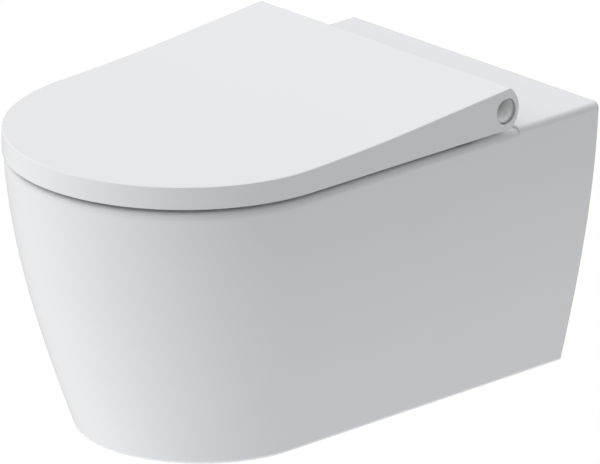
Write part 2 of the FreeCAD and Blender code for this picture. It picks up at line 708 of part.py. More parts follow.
def draw_trap_line(sketch):
    low, crest = value(TRAP_LOW), value(TRAP_CREST)
    start, turn = -value("dims.sump_setback"), -value("dims.trap_run")
    bend, over = value("dims.trap_bend"), value("dims.crest_bend")
    rise = math.radians(value("dims.trap_rise"))
    end = FreeCAD.Vector(value(TRAP_END), value(TRAP_END_Z), 0)
    up = FreeCAD.Vector(0, 0, 1)
    quarter = math.pi / 2
    away = FreeCAD.Vector(math.sin(rise), -math.cos(rise), 0)
    low_centre = FreeCAD.Vector(turn, low + bend, 0)
    leg_start = low_centre + away * bend
    leg = (crest - over - away.y * over - leg_start.y) / math.sin(rise)
    leg_end = leg_start + FreeCAD.Vector(math.cos(rise), math.sin(rise), 0) * leg
    crest_centre = leg_end + away * over
    reach = end - crest_centre
    lean = math.atan2(reach.y, reach.x) + math.acos(over / reach.Length)
    fall_start = crest_centre + FreeCAD.Vector(math.cos(lean), math.sin(lean), 0) * over
    sketch.addGeometry(Part.LineSegment(FreeCAD.Vector(start, low, 0), FreeCAD.Vector(turn, low, 0)))
    sketch.addGeometry(Part.ArcOfCircle(Part.Circle(low_centre, up, bend), -quarter, rise - quarter))
    sketch.addGeometry(Part.LineSegment(leg_start, leg_end))
    sketch.addGeometry(Part.ArcOfCircle(Part.Circle(crest_centre, up, over), lean, quarter + rise))
    sketch.addGeometry(Part.LineSegment(fall_start, end))
    relate(sketch, "Tangent", 0, 2, 1, 1)
    relate(sketch, "Tangent", 1, 2, 2, 1)
    relate(sketch, "Tangent", 2, 2, 3, 2)
    relate(sketch, "Tangent", 3, 1, 4, 1)
    relate(sketch, "Horizontal", 0)
    measure(sketch, "DistanceX", (-1, 1, 0, 1), "-dims.sump_setback")
    measure(sketch, "DistanceY", (-1, 1, 0, 1), TRAP_LOW)
    measure(sketch, "DistanceX", (-1, 1, 0, 2), "-dims.trap_run")
    measure(sketch, "Radius", (1,), "dims.trap_bend")
    measure(sketch, "Radius", (3,), "dims.crest_bend")
    measure(sketch, "DistanceY", (-1, 1, 3, 3), f"{TRAP_CREST} - dims.crest_bend")
    measure(sketch, "DistanceX", (-1, 1, 4, 2), TRAP_END)
    measure(sketch, "DistanceY", (-1, 1, 4, 2), TRAP_END_Z)
    angle = sketch.addConstraint(Sketcher.Constraint("Angle", 2, rise))
    sketch.setExpression(f"Constraints[{angle}]", "dims.trap_rise * 1 deg")


def trap_body(name, radius):
    body = new_body(name)
    line = new_sketch(body, name + "_line", "YZ_Plane")
    draw_trap_line(line)
    ring = new_sketch(body, name + "_ring", "XZ_Plane", "dims.sump_setback")
    draw_circle(ring, "0", TRAP_LOW, radius)
    doc.recompute()
    feature = body.newObject("PartDesign::AdditivePipe", name + "_pipe")
    feature.Profile = ring
    feature.Spine = (line, [f"Edge{number}" for number in range(1, 6)])
    return body


trap_outside = trap_body("trap_outside", "dims.trap_radius + dims.trap_wall")
trap_inside = trap_body("trap_inside", "dims.trap_radius")
shoulder = cylinder_along_y("waste_shoulder", "dims.shoulder_radius", "0", SPIGOT_FRONT, SHOULDER, WASTE)
spigot_outside = cylinder_along_y(
    "spigot_outside", "dims.waste_radius", "0", SPIGOT_FRONT, "-dims.waste_recess", WASTE)
spigot_inside = cylinder_along_y(
    "spigot_inside", "dims.waste_radius - dims.waste_wall", "0", f"{SPIGOT_FRONT} + dims.waste_wall",
    "dims.cut_past", WASTE)
finish(
    subtract("bowl_piece", join("bowl_solid", [bowl_outside, bowl_flange]),
             join("bowl_room", [bowl_inside, trap_inside])),
    "bowl",
)
finish(
    subtract("trapway_piece", join("trapway_solid", [trap_outside, shoulder, spigot_outside]),
             join("trapway_room", [bowl_outside, trap_inside, spigot_inside])),
    "trapway",
)


# Lid: plan outline and side profile, one cut by the other

LID_LOW = f"({RIM} + dims.lid_gap)"
LID_FLAT = f"({LID_LOW} + dims.lid_front_height)"
LID_REAR = f"({LID_LOW} + dims.lid_rear_height)"
LID_HALF = "(dims.pan_width / 2 + dims.lid_overhang)"
LID_NOSE = "(dims.pan_projection + dims.lid_overhang)"
LID_EDGE = "(dims.lid_rear_overhang - dims.hinge_setback)"
LID_SLOPE = f"(({LID_REAR} - {LID_FLAT}) / ({LID_EDGE} + dims.lid_bend_setback))"
BEND_START = "(-dims.lid_bend_setback - dims.lid_bend_reach)"
HINGE_Y = "(-dims.hinge_setback)"
HINGE_Z = f"({RIM} + dims.hinge_rise)"
EAR_FRONT = "(-dims.hinge_setback - dims.ear_length)"
EAR_INNER = f"({LID_HALF} - dims.ear_width)"
EAR_STEP = "(dims.ear_bulge - dims.lid_rear_overhang)"
EAR_LIFT = f"({LID_REAR} - {HINGE_Z} - dims.ear_centre_rise)"
EAR_ROUND = f"(({EAR_STEP}^2 + {EAR_LIFT}^2) / (2 * {EAR_STEP}))"
EAR_CENTRE_Y = f"({HINGE_Y} + dims.ear_bulge - {EAR_ROUND})"
EAR_CENTRE_Z = f"({HINGE_Z} + dims.ear_centre_rise)"
LID_FRONT = f"(-{LID_NOSE} - dims.lid_trim)"
BEHIND_EARS = f"({HINGE_Y} + dims.ear_bulge + dims.lid_trim)"
UNDER_LID = f"({LID_LOW} - dims.cut_past)"


def draw_lid_top(sketch, drop, front, rear):
    """Flat front, bend and straight rise, lowered by a given amount, between a front and a rear end."""
    flat, slope = value(f"{LID_FLAT} - {drop}"), value(LID_SLOPE)
    start, kink = value(BEND_START), -value("dims.lid_bend_setback")
    tilt = math.atan(slope)
    radius = (kink - start) / math.tan(tilt / 2)
    round_centre = FreeCAD.Vector(start, flat + radius, 0)
    circle = Part.Circle(round_centre, UPWARDS, radius)
    bend_end = round_centre + FreeCAD.Vector(math.sin(tilt), -math.cos(tilt), 0) * radius
    rear_end = FreeCAD.Vector(value(rear), flat + slope * (value(rear) - kink), 0)
    draw_line(sketch, (value(front), flat), (start, flat))
    sketch.addGeometry(Part.ArcOfCircle(circle, -math.pi / 2, tilt - math.pi / 2))
    sketch.addGeometry(Part.LineSegment(bend_end, rear_end))
    relate(sketch, "Tangent", 0, 2, 1, 1)
    relate(sketch, "Tangent", 1, 2, 2, 1)
    relate(sketch, "Horizontal", 0)
    measure(sketch, "DistanceX", (-1, 1, 0, 1), front)
    measure(sketch, "DistanceY", (-1, 1, 0, 1), f"{LID_FLAT} - {drop}")
    measure(sketch, "DistanceX", (-1, 1, 0, 2), BEND_START)
    measure(sketch, "DistanceX", (-1, 1, 2, 2), rear)
    rear_height = f"{LID_REAR} - {drop} + {LID_SLOPE} * (({rear}) - {LID_EDGE})"
    measure(sketch, "DistanceY", (-1, 1, 2, 2), rear_height)
    return rear_end


def draw_lid_room(sketch, drop, low, rear):
    """Space under a lowered lid top, down to a given height."""
    rear_top = draw_lid_top(sketch, drop, LID_FRONT, rear)
    front_y, rear_y, low_z = value(LID_FRONT), value(rear), value(low)
    draw_line(sketch, (rear_top.x, rear_top.y), (rear_y, low_z))
    draw_line(sketch, (rear_y, low_z), (front_y, low_z))
    draw_line(sketch, (front_y, low_z), (front_y, value(f"{LID_FLAT} - {drop}")))
    for index in (2, 3, 4):
        relate(sketch, "Coincident", index, 2, index + 1, 1)
    relate(sketch, "Coincident", 5, 2, 0, 1)
    relate(sketch, "Vertical", 3)
    relate(sketch, "Horizontal", 4)
    relate(sketch, "Vertical", 5)
    measure(sketch, "DistanceY", (-1, 1, 4, 1), low)


def draw_lid_side(sketch):
    """Side profile of the whole lid, with the round rear of the ears."""
    rear_top = draw_lid_top(sketch, "0", LID_FRONT, LID_EDGE)
    radius = value(EAR_ROUND)
    low, front = value(LID_LOW), value(LID_FRONT)
    middle = FreeCAD.Vector(value(EAR_CENTRE_Y), value(EAR_CENTRE_Z), 0)
    low_end = middle.x + math.sqrt(radius ** 2 - (middle.y - low) ** 2)
    start = math.atan2(low - middle.y, low_end - middle.x)
    stop = math.atan2(rear_top.y - middle.y, rear_top.x - middle.x)
    sketch.addGeometry(Part.ArcOfCircle(Part.Circle(middle, UPWARDS, radius), start, stop))
    draw_line(sketch, (low_end, low), (front, low))
    draw_line(sketch, (front, low), (front, value(LID_FLAT)))
    relate(sketch, "Coincident", 2, 2, 3, 2)
    relate(sketch, "Coincident", 3, 1, 4, 1)
    relate(sketch, "Coincident", 4, 2, 5, 1)
    relate(sketch, "Coincident", 5, 2, 0, 1)
    relate(sketch, "Horizontal", 4)
    relate(sketch, "Vertical", 5)
    measure(sketch, "DistanceX", (-1, 1, 3, 3), EAR_CENTRE_Y)
    measure(sketch, "DistanceY", (-1, 1, 3, 3), EAR_CENTRE_Z)
    measure(sketch, "DistanceY", (-1, 1, 4, 1), LID_LOW)


def plan_block(name, half_width, rear, low, high):
    body = new_body(name)
    sketch = new_sketch(body, name + "_plan", "XY_Plane", low)
    draw_front(sketch, half_width, FRONT_CENTRE, rear)
    pad(body, sketch, f"({high}) - ({low})")
    return body


def cylinder_along_x(name, radius, start, end):
    """Cylinder on the hinge axis between two distances from the symmetry plane."""
    item = doc.addObject("Part::Cylinder", name)
    item.Placement.Rotation = FreeCAD.Rotation(FreeCAD.Vector(0, 1, 0), 90)
    item.setExpression("Radius", radius)
    item.setExpression("Height", f"({end}) - ({start})")
    place(item, start, HINGE_Y, HINGE_Z)
    return item


def upright_cylinder(name, radius, across, out, low, high):
    item = doc.addObject("Part::Cylinder", name)
    item.setExpression("Radius", radius)
    item.setExpression("Height", f"({high}) - ({low})")
    place(item, across, out, low)
    return item


lid_side = new_body("lid_side")
lid_side_sketch = new_sketch(lid_side, "lid_side_line", "YZ_Plane")
draw_lid_side(lid_side_sketch)
pad(lid_side, lid_side_sketch, f"2 * ({LID_HALF} + dims.lid_trim)", both_ways=True)
lid_plan = plan_block("lid_plan", LID_HALF, BEHIND_EARS, UNDER_LID, f"{LID_REAR} + dims.lid_trim")
lid_block = overlap("lid_block", lid_plan, lid_side)
doc.recompute()

lid_skin = new_body("lid_skin")
lid_skin.BaseFeature = lid_block
doc.recompute()
lid_low = value(LID_LOW)
lid_half = value(LID_HALF)
lid_edge = value(LID_EDGE)
lid_middle = -value(FRONT_CENTRE)


def on_lid_border(edge):
    point = edge.valueAt((edge.FirstParameter + edge.LastParameter) / 2)
    if point.z < lid_low + 0.5:
        return False
    if point.y > lid_middle:
        beside = abs(abs(point.x) - lid_half) < 0.01
    else:
        beside = abs(math.hypot(point.x, point.y - lid_middle) - lid_half) < 0.01
    along_rear = edge.BoundBox.XLength > lid_half and abs(point.y - lid_edge) < 0.01
    return beside or along_rear


fillet(lid_skin, lid_skin.Tip, on_lid_border, "dims.lid_edge_radius")

recess_side = new_body("lid_recess_side")
recess_sketch = new_sketch(recess_side, "lid_recess_line", "YZ_Plane")
draw_lid_room(recess_sketch, "dims.lid_plate", UNDER_LID, BEHIND_EARS)
pad(recess_side, recess_sketch, f"2 * {LID_HALF}", both_ways=True)
recess_plan = plan_block("lid_recess_plan", f"{LID_HALF} - dims.lid_skirt", EAR_FRONT, UNDER_LID, LID_REAR)
bay_block = box("lid_bay_block", [
    (f"-{EAR_INNER}", EAR_INNER),
    (f"{EAR_FRONT} - dims.cut_past", BEHIND_EARS),
    (UNDER_LID, LID_REAR),
])
lid_room = overlap("lid_room", join("lid_room_plan", [recess_plan, bay_block]), recess_side)
EAR_FLOOR = f"({EAR_INNER} + dims.ear_wall)"
ear_bore = cylinder_along_x("ear_bore", "dims.ear_bore", EAR_FLOOR, f"{LID_HALF} + dims.cut_past")
ear_hole = cylinder_along_x(
    "ear_hole", "dims.shaft_radius + dims.ear_hole_gap", f"{EAR_INNER} - dims.cut_past",
    f"{EAR_FLOOR} + dims.cut_past")

LID_BUFFER_ARM = "(dims.pan_width / 2 - dims.lid_buffer_inset)"
LID_BUFFER_X = f"({LID_BUFFER_ARM} * sin(dims.lid_buffer_angle * 1 deg))"
LID_BUFFER_Y = f"(-{FRONT_CENTRE} - {LID_BUFFER_ARM} * cos(dims.lid_buffer_angle * 1 deg))"
LID_CEILING = f"({LID_FLAT} - dims.lid_plate)"
lid_stem_hole = upright_cylinder(
    "lid_stem_hole", "dims.lid_buffer_stem + dims.fit_clearance", LID_BUFFER_X, LID_BUFFER_Y,
    f"{LID_CEILING} - dims.cut_past", f"{LID_CEILING} + dims.lid_buffer_stem_length + dims.fit_clearance")
lid_cuts = [ear_bore, ear_hole, lid_stem_hole]
lid_tool = join("lid_tool", [lid_room] + lid_cuts + [twin_of(item) for item in lid_cuts])
finish(subtract("lid_piece", lid_skin, lid_tool), "lid")

# Seat: ring with a long opening and two lugs that reach back to the hinge axis

SEAT_LOW = f"({RIM} + dims.seat_gap)"
SEAT_TOP = f"({SEAT_LOW} + dims.seat_thickness)"
SEAT_HALF = f"({LID_HALF} - dims.lid_skirt - dims.seat_clearance)"
SEAT_NOSE = f"({FRONT_CENTRE} + {SEAT_HALF})"
SEAT_REAR = "(-dims.hinge_setback - dims.hinge_reach - dims.foot_radius - dims.seat_rear_gap)"
OPENING_HALF = "(dims.seat_opening_width / 2)"
LUG_END = f"({EAR_INNER} - dims.lug_clearance)"

seat_ring = plan_block("seat_ring_body", SEAT_HALF, SEAT_REAR, SEAT_LOW, SEAT_TOP)
opening = new_sketch(seat_ring, "seat_opening", "XY_Plane", SEAT_TOP)
draw_rounded(
    opening, OPENING_HALF, f"{SEAT_NOSE} - dims.seat_opening_front - {OPENING_HALF}",
    f"{SEAT_REAR} - dims.seat_opening_rear", "dims.seat_opening_corner")
ring_cut = pocket(seat_ring, opening, "dims.seat_thickness")
seat_top = value(SEAT_TOP)
seat_rail = value(f"({OPENING_HALF} + {SEAT_HALF}) / 2")


def on_seat_top(edge):
    return lies_at(edge, seat_top)


def reaches_rail(edge):
    return max(abs(edge.BoundBox.XMin), abs(edge.BoundBox.XMax)) > seat_rail


def round_opening(edge):
    return on_seat_top(edge) and not reaches_rail(edge)


def round_border(edge):
    return on_seat_top(edge) and reaches_rail(edge)


inner_round = fillet(seat_ring, ring_cut, round_opening, "dims.seat_inner_radius")
fillet(seat_ring, inner_round, round_border, "dims.seat_outer_radius")

lug = new_body("seat_lug")
barrel = new_sketch(lug, "lug_barrel", "YZ_Plane", "dims.lug_inset")
draw_circle(barrel, HINGE_Y, HINGE_Z, "dims.lug_radius")
pad(lug, barrel, f"{LUG_END} - dims.lug_inset")
neck = new_sketch(lug, "lug_neck", "YZ_Plane", "dims.lug_inset")
draw_outline(neck, [
    (f"{SEAT_REAR} - dims.lug_root", f"{SEAT_LOW} + dims.lug_lift"),
    (f"{SEAT_REAR} - dims.lug_root", f"{SEAT_TOP} - dims.lug_drop"),
    (f"{SEAT_REAR} + dims.seat_outer_radius", f"{SEAT_TOP} - dims.lug_drop"),
    (f"{HINGE_Y} - dims.lug_radius / 3", f"{HINGE_Z} + dims.lug_radius * dims.lug_hold"),
    (f"{HINGE_Y} + dims.lug_radius / 3", f"{HINGE_Z} - dims.lug_radius * dims.lug_hold"),
    (f"{HINGE_Y} - dims.lug_radius * 2", f"{SEAT_LOW} + dims.lug_lift"),
])
pad(lug, neck, f"{LUG_END} - dims.lug_inset")

BUFFER_ARM = "(dims.pan_width / 2 - dims.buffer_inset)"
BUFFER_PLACES = [
    (BUFFER_ARM, "(-dims.buffer_setback)"),
    (f"({BUFFER_ARM} * sin(dims.buffer_angle * 1 deg))",
     f"(-{FRONT_CENTRE} - {BUFFER_ARM} * cos(dims.buffer_angle * 1 deg))"),
]
stem_holes = [
    upright_cylinder(
        f"stem_hole_{number}", "dims.buffer_stem + dims.fit_clearance", across, out,
        f"{SEAT_LOW} - dims.cut_past", f"{SEAT_LOW} + dims.buffer_stem_length + dims.fit_clearance")
    for number, (across, out) in enumerate(BUFFER_PLACES)
]
lug_bore = cylinder_along_x(
    "lug_bore", "dims.lug_bore", "dims.lug_inset - dims.cut_past", f"{LUG_END} + dims.cut_past")
seat_solid = join("seat_solid", [seat_ring, lug, twin_of(lug)])
seat_cuts = [lug_bore] + stem_holes
seat_tool = join("seat_tool", seat_cuts + [twin_of(item) for item in seat_cuts])
finish(subtract("seat_piece", seat_solid, seat_tool), "seat_ring")


# Turned pieces: half section about an axis, given as distance along it and radius

def turned(name, plane, axis, corners):
    body = new_body(name)
    sketch = new_sketch(body, name + "_half", plane)
    draw_outline(sketch, corners)
    revolve(body, sketch, axis)
    return body


def on_hinge(name, side, corners):
    """Piece turned about the hinge axis, drawn for the right side and swung round for the left one."""
    body = turned(name, "XY_Plane", "H_Axis", corners)
    place(body, None, HINGE_Y, HINGE_Z, HALF_TURN if side == "left" else None)
    return body


# Rubber buffers under the seat and under the lid

def buffer(name, across, out, corners):
    body = turned(name, "XZ_Plane", "V_Axis", corners)
    place(body, across, out, "0")
    return body


seat_pad = [
    ("0", f"{RIM} + dims.buffer_clearance"),
    ("dims.buffer_radius - dims.buffer_bevel", f"{RIM} + dims.buffer_clearance"),
    ("dims.buffer_radius", f"{RIM} + dims.buffer_clearance + dims.buffer_bevel"),
    ("dims.buffer_radius", SEAT_LOW),
    ("dims.buffer_stem", SEAT_LOW),
    ("dims.buffer_stem", f"{SEAT_LOW} + dims.buffer_stem_length"),
    ("0", f"{SEAT_LOW} + dims.buffer_stem_length"),
]
seat_pads = [buffer(f"seat_buffer_{number}", *spot, seat_pad) for number, spot in enumerate(BUFFER_PLACES)]
finish(mirrored_sets("seat_buffers", seat_pads), "seat_buffers")

lid_pad = [
    ("0", f"{SEAT_TOP} + dims.buffer_clearance"),
    ("dims.lid_buffer_radius - dims.lid_buffer_bevel", f"{SEAT_TOP} + dims.buffer_clearance"),
    ("dims.lid_buffer_radius", f"{SEAT_TOP} + dims.buffer_clearance + dims.lid_buffer_bevel"),
    ("dims.lid_buffer_radius", LID_CEILING),
    ("dims.lid_buffer_stem", LID_CEILING),
    ("dims.lid_buffer_stem", f"{LID_CEILING} + dims.lid_buffer_stem_length"),
    ("0", f"{LID_CEILING} + dims.lid_buffer_stem_length"),
]
lid_buffer = buffer("lid_buffer", LID_BUFFER_X, LID_BUFFER_Y, lid_pad)
finish(mirrored_sets("lid_buffers", [lid_buffer]), "lid_buffers")

# Hinge arms: round foot on the deck, web and eye on the hinge axis

FOOT_LOW = "(dims.gasket_thickness - dims.hinge_rise)"
FOOT_TOP = f"({FOOT_LOW} + dims.foot_thickness)"


def hinge_arm(side, sign):
    body = new_body("hinge_arm_" + side + "_body")
    foot = new_sketch(body, "foot_" + side, "XY_Plane", FOOT_LOW)
    draw_circle(foot, "0", "-dims.hinge_reach", "dims.foot_radius")
    pad(body, foot, "dims.foot_thickness")
    web = new_sketch(body, "web_" + side, "YZ_Plane")
    draw_outline(web, [
        ("dims.screw_head_radius + dims.head_margin - dims.hinge_reach", f"{FOOT_TOP} - dims.web_lap"),
        ("dims.screw_head_radius + dims.head_margin - dims.hinge_reach", f"{FOOT_TOP} + dims.web_shoulder"),
        ("-dims.eye_radius / 2", "dims.eye_radius * dims.web_hold"),
        ("dims.eye_radius / 2", "-dims.eye_radius * dims.web_hold"),
        ("dims.foot_radius - dims.hinge_reach + dims.web_lap", f"{FOOT_TOP} - dims.web_lap"),
    ])
    pad(body, web, "dims.arm_width", both_ways=True)
    eye = new_sketch(body, "eye_" + side, "YZ_Plane")
    draw_circle(eye, "0", "0", "dims.eye_radius")
    pad(body, eye, "dims.arm_width", both_ways=True)
    bore = new_sketch(body, "eye_bore_" + side, "YZ_Plane")
    draw_circle(bore, "0", "0", "dims.shaft_radius + dims.fit_clearance")
    pocket(body, bore, "dims.arm_width + 2 * dims.cut_past", both_ways=True)
    screw_hole = new_sketch(body, "foot_hole_" + side, "XY_Plane", FOOT_TOP)
    draw_circle(screw_hole, "0", "-dims.hinge_reach", "dims.screw_radius + dims.screw_clearance")
    pocket(body, screw_hole, "dims.foot_thickness")
    grub_hole = new_sketch(body, "grub_hole_" + side, "XY_Plane", "dims.eye_radius + dims.cut_past")
    draw_circle(grub_hole, "0", "0", "dims.grub_radius + dims.fit_clearance")
    pocket(body, grub_hole, "dims.eye_radius + dims.cut_past")
    place(body, f"{sign} * dims.hinge_spacing / 2", HINGE_Y, HINGE_Z)
    finish(body, "hinge_arm_" + side)


hinge_arm("left", "-1")
hinge_arm("right", "1")

# Hinge shafts, fixed in the arms, and their grub screws

HOUSING_START = f"({EAR_INNER} + dims.ear_wall + dims.fit_clearance)"
CAP_BACK = f"({LID_HALF} - dims.cap_recess - dims.cap_thickness)"
HOUSING_END = f"({CAP_BACK} - dims.fit_clearance)"
SHAFT_END = f"({HOUSING_END} - dims.damper_end - dims.shaft_end_gap)"
SHAFT_BORE = "(dims.shaft_radius + dims.running_clearance)"


def hinge_shaft(side):
    body = on_hinge(f"hinge_shaft_{side}_body", side, [
        ("dims.shaft_inset", "0"),
        (SHAFT_END, "0"),
        (SHAFT_END, "dims.shaft_radius - dims.shaft_chamfer"),
        (f"{SHAFT_END} - dims.shaft_chamfer", "dims.shaft_radius"),
        ("dims.shaft_inset + dims.shaft_chamfer", "dims.shaft_radius"),
        ("dims.shaft_inset", "dims.shaft_radius - dims.shaft_chamfer"),
    ])
    finish(body, "hinge_shaft_" + side)


hinge_shaft("left")
hinge_shaft("right")

GRUB_TOP = "(dims.eye_radius - dims.grub_depth)"
grub = turned("hinge_grub_screw", "XZ_Plane", "V_Axis", [
    ("0", "dims.shaft_radius + dims.fit_clearance"),
    ("dims.grub_radius - dims.grub_point", "dims.shaft_radius + dims.fit_clearance"),
    ("dims.grub_radius", "dims.shaft_radius + dims.fit_clearance + dims.grub_point"),
    ("dims.grub_radius", GRUB_TOP),
    ("dims.grub_socket", GRUB_TOP),
    ("dims.grub_socket", f"{GRUB_TOP} - dims.grub_socket_depth"),
    ("0", f"{GRUB_TOP} - dims.grub_socket_depth"),
])
place(grub, "dims.hinge_spacing / 2", HINGE_Y, HINGE_Z)
finish(mirrored_sets("hinge_grub_screws", [grub]), "hinge_grub_screws")

# Hinge fixings: gasket on the deck, screw, rubber sleeve that spreads below the deck, cone nut

FOOT_X = "dims.hinge_spacing / 2"
FOOT_Y = "-dims.hinge_setback - dims.hinge_reach"


def hinge_fixing(label, corners):
    body = turned(label + "_one", "XZ_Plane", "V_Axis", corners)
    place(body, FOOT_X, FOOT_Y, RIM)
    finish(mirrored_sets(label, [body]), label)


SCREW_HOLE = "(dims.screw_radius + dims.screw_clearance)"
hinge_fixing("hinge_gaskets", [
    (SCREW_HOLE, "0"),
    ("dims.foot_radius", "0"),
    ("dims.foot_radius", "dims.gasket_thickness"),
    (SCREW_HOLE, "dims.gasket_thickness"),
])
SEAT_OF_HEAD = "(dims.gasket_thickness + dims.foot_thickness)"
TOP_OF_HEAD = f"({SEAT_OF_HEAD} + dims.screw_head_height)"
hinge_fixing("hinge_fixing_screws", [
    ("0", f"{SEAT_OF_HEAD} - dims.screw_length"),
    ("dims.screw_radius", f"{SEAT_OF_HEAD} - dims.screw_length"),
    ("dims.screw_radius", SEAT_OF_HEAD),
    ("dims.screw_head_radius", SEAT_OF_HEAD),
    ("dims.screw_head_radius", f"{TOP_OF_HEAD} - dims.screw_head_bevel"),
    ("dims.screw_head_radius - dims.screw_head_bevel", TOP_OF_HEAD),
    ("dims.screw_socket", TOP_OF_HEAD),
    ("dims.screw_socket", f"{TOP_OF_HEAD} - dims.screw_socket_depth"),
    ("0", f"{TOP_OF_HEAD} - dims.screw_socket_depth"),
])
SLEEVE_RADIUS = "(dims.hinge_hole - dims.fit_clearance)"
hinge_fixing("hinge_expansion_sleeves", [
    (SCREW_HOLE, "-dims.sleeve_length"),
    ("dims.cone_nut_radius", "-dims.sleeve_length"),
    ("dims.sleeve_bulge", "-dims.deck_thickness - dims.sleeve_bulge"),
    ("dims.sleeve_bulge", "-dims.deck_thickness - dims.sleeve_slope"),
    (SLEEVE_RADIUS, "-dims.deck_thickness"),
    (SLEEVE_RADIUS, "0"),
    (SCREW_HOLE, "0"),
])
hinge_fixing("hinge_cone_nuts", [
    ("dims.screw_radius + dims.fit_clearance", "-dims.sleeve_length - dims.cone_nut_height"),
    ("dims.cone_nut_radius", "-dims.sleeve_length - dims.cone_nut_height"),
    ("dims.cone_nut_radius", "-dims.sleeve_length - dims.cone_nut_cone"),
    ("dims.cone_nut_radius - dims.cone_nut_taper", "-dims.sleeve_length"),
    ("dims.screw_radius + dims.fit_clearance", "-dims.sleeve_length"),
])


# Dampers: housing and cover turn with the lid or the seat, the vaned rotor stays on the shaft

def rotor(label, side, start, end, cavity):
    hub = "(dims.shaft_radius + dims.rotor_wall)"
    tip = f"sqrt(({cavity} - dims.vane_clearance)^2 - (dims.vane_width / 2)^2)"
    body = on_hinge(label + "_body", side, [
        (start, "dims.shaft_radius + dims.fit_clearance / 2"),
        (end, "dims.shaft_radius + dims.fit_clearance / 2"),
        (end, hub),
        (start, hub),
    ])
    for number, way in enumerate(("1", "-1")):
        vane = new_sketch(body, f"{label}_vane_{number}", "YZ_Plane", start)
        draw_outline(vane, [
            ("-dims.vane_width / 2", f"{way} * ({hub} - dims.web_lap)"),
            ("dims.vane_width / 2", f"{way} * ({hub} - dims.web_lap)"),
            ("dims.vane_width / 2", f"{way} * {tip}"),
            ("-dims.vane_width / 2", f"{way} * {tip}"),
        ])
        pad(body, vane, f"({end}) - ({start})")
    finish(body, label)


LID_DAMPER_OUT = "(dims.ear_bore - dims.fit_clearance)"
LID_DAMPER_IN = f"({LID_DAMPER_OUT} - dims.damper_wall)"
LID_COVER = f"({HOUSING_START} + dims.damper_end)"
finish(on_hinge("lid_damper_housing_body", "right", [
    (LID_COVER, LID_DAMPER_IN),
    (f"{HOUSING_END} - dims.damper_end", LID_DAMPER_IN),
    (f"{HOUSING_END} - dims.damper_end", "0"),
    (HOUSING_END, "0"),
    (HOUSING_END, LID_DAMPER_OUT),
    (LID_COVER, LID_DAMPER_OUT),
]), "lid_damper_housing")
finish(on_hinge("lid_damper_cover_body", "right", [
    (HOUSING_START, SHAFT_BORE),
    (LID_COVER, SHAFT_BORE),
    (LID_COVER, LID_DAMPER_OUT),
    (HOUSING_START, LID_DAMPER_OUT),
]), "lid_damper_cover")
rotor("lid_damper_rotor", "right", f"{LID_COVER} + dims.rotor_gap",
      f"{HOUSING_END} - dims.damper_end - dims.shaft_end_gap", LID_DAMPER_IN)
finish(on_hinge("lid_hinge_bush_body", "left", [
    (HOUSING_START, SHAFT_BORE),
    (f"{HOUSING_END} - dims.damper_end", SHAFT_BORE),
    (f"{HOUSING_END} - dims.damper_end", "0"),
    (HOUSING_END, "0"),
    (HOUSING_END, LID_DAMPER_OUT),
    (HOUSING_START, LID_DAMPER_OUT),
]), "lid_hinge_bush")

SEAT_DAMPER_OUT = "(dims.lug_bore - dims.fit_clearance)"
SEAT_DAMPER_IN = f"({SEAT_DAMPER_OUT} - dims.seat_damper_wall)"
SEAT_COVER = "(dims.lug_inset + dims.damper_end)"
finish(on_hinge("seat_damper_housing_body", "left", [
    (SEAT_COVER, SEAT_DAMPER_IN),
    (f"{LUG_END} - dims.damper_end", SEAT_DAMPER_IN),
    (f"{LUG_END} - dims.damper_end", SHAFT_BORE),
    (LUG_END, SHAFT_BORE),
    (LUG_END, SEAT_DAMPER_OUT),
    (SEAT_COVER, SEAT_DAMPER_OUT),
]), "seat_damper_housing")
finish(on_hinge("seat_damper_cover_body", "left", [
    ("dims.lug_inset", SHAFT_BORE),
    (SEAT_COVER, SHAFT_BORE),
    (SEAT_COVER, SEAT_DAMPER_OUT),
    ("dims.lug_inset", SEAT_DAMPER_OUT),
]), "seat_damper_cover")
rotor("seat_damper_rotor", "left", f"{SEAT_COVER} + dims.rotor_gap",
      f"{LUG_END} - dims.damper_end - dims.rotor_gap", SEAT_DAMPER_IN)
finish(on_hinge("seat_hinge_bush_body", "right", [
    ("dims.lug_inset", SHAFT_BORE),
    (LUG_END, SHAFT_BORE),
    (LUG_END, SEAT_DAMPER_OUT),
    ("dims.lug_inset", SEAT_DAMPER_OUT),
]), "seat_hinge_bush")


# Domed end caps that close the ears of the lid

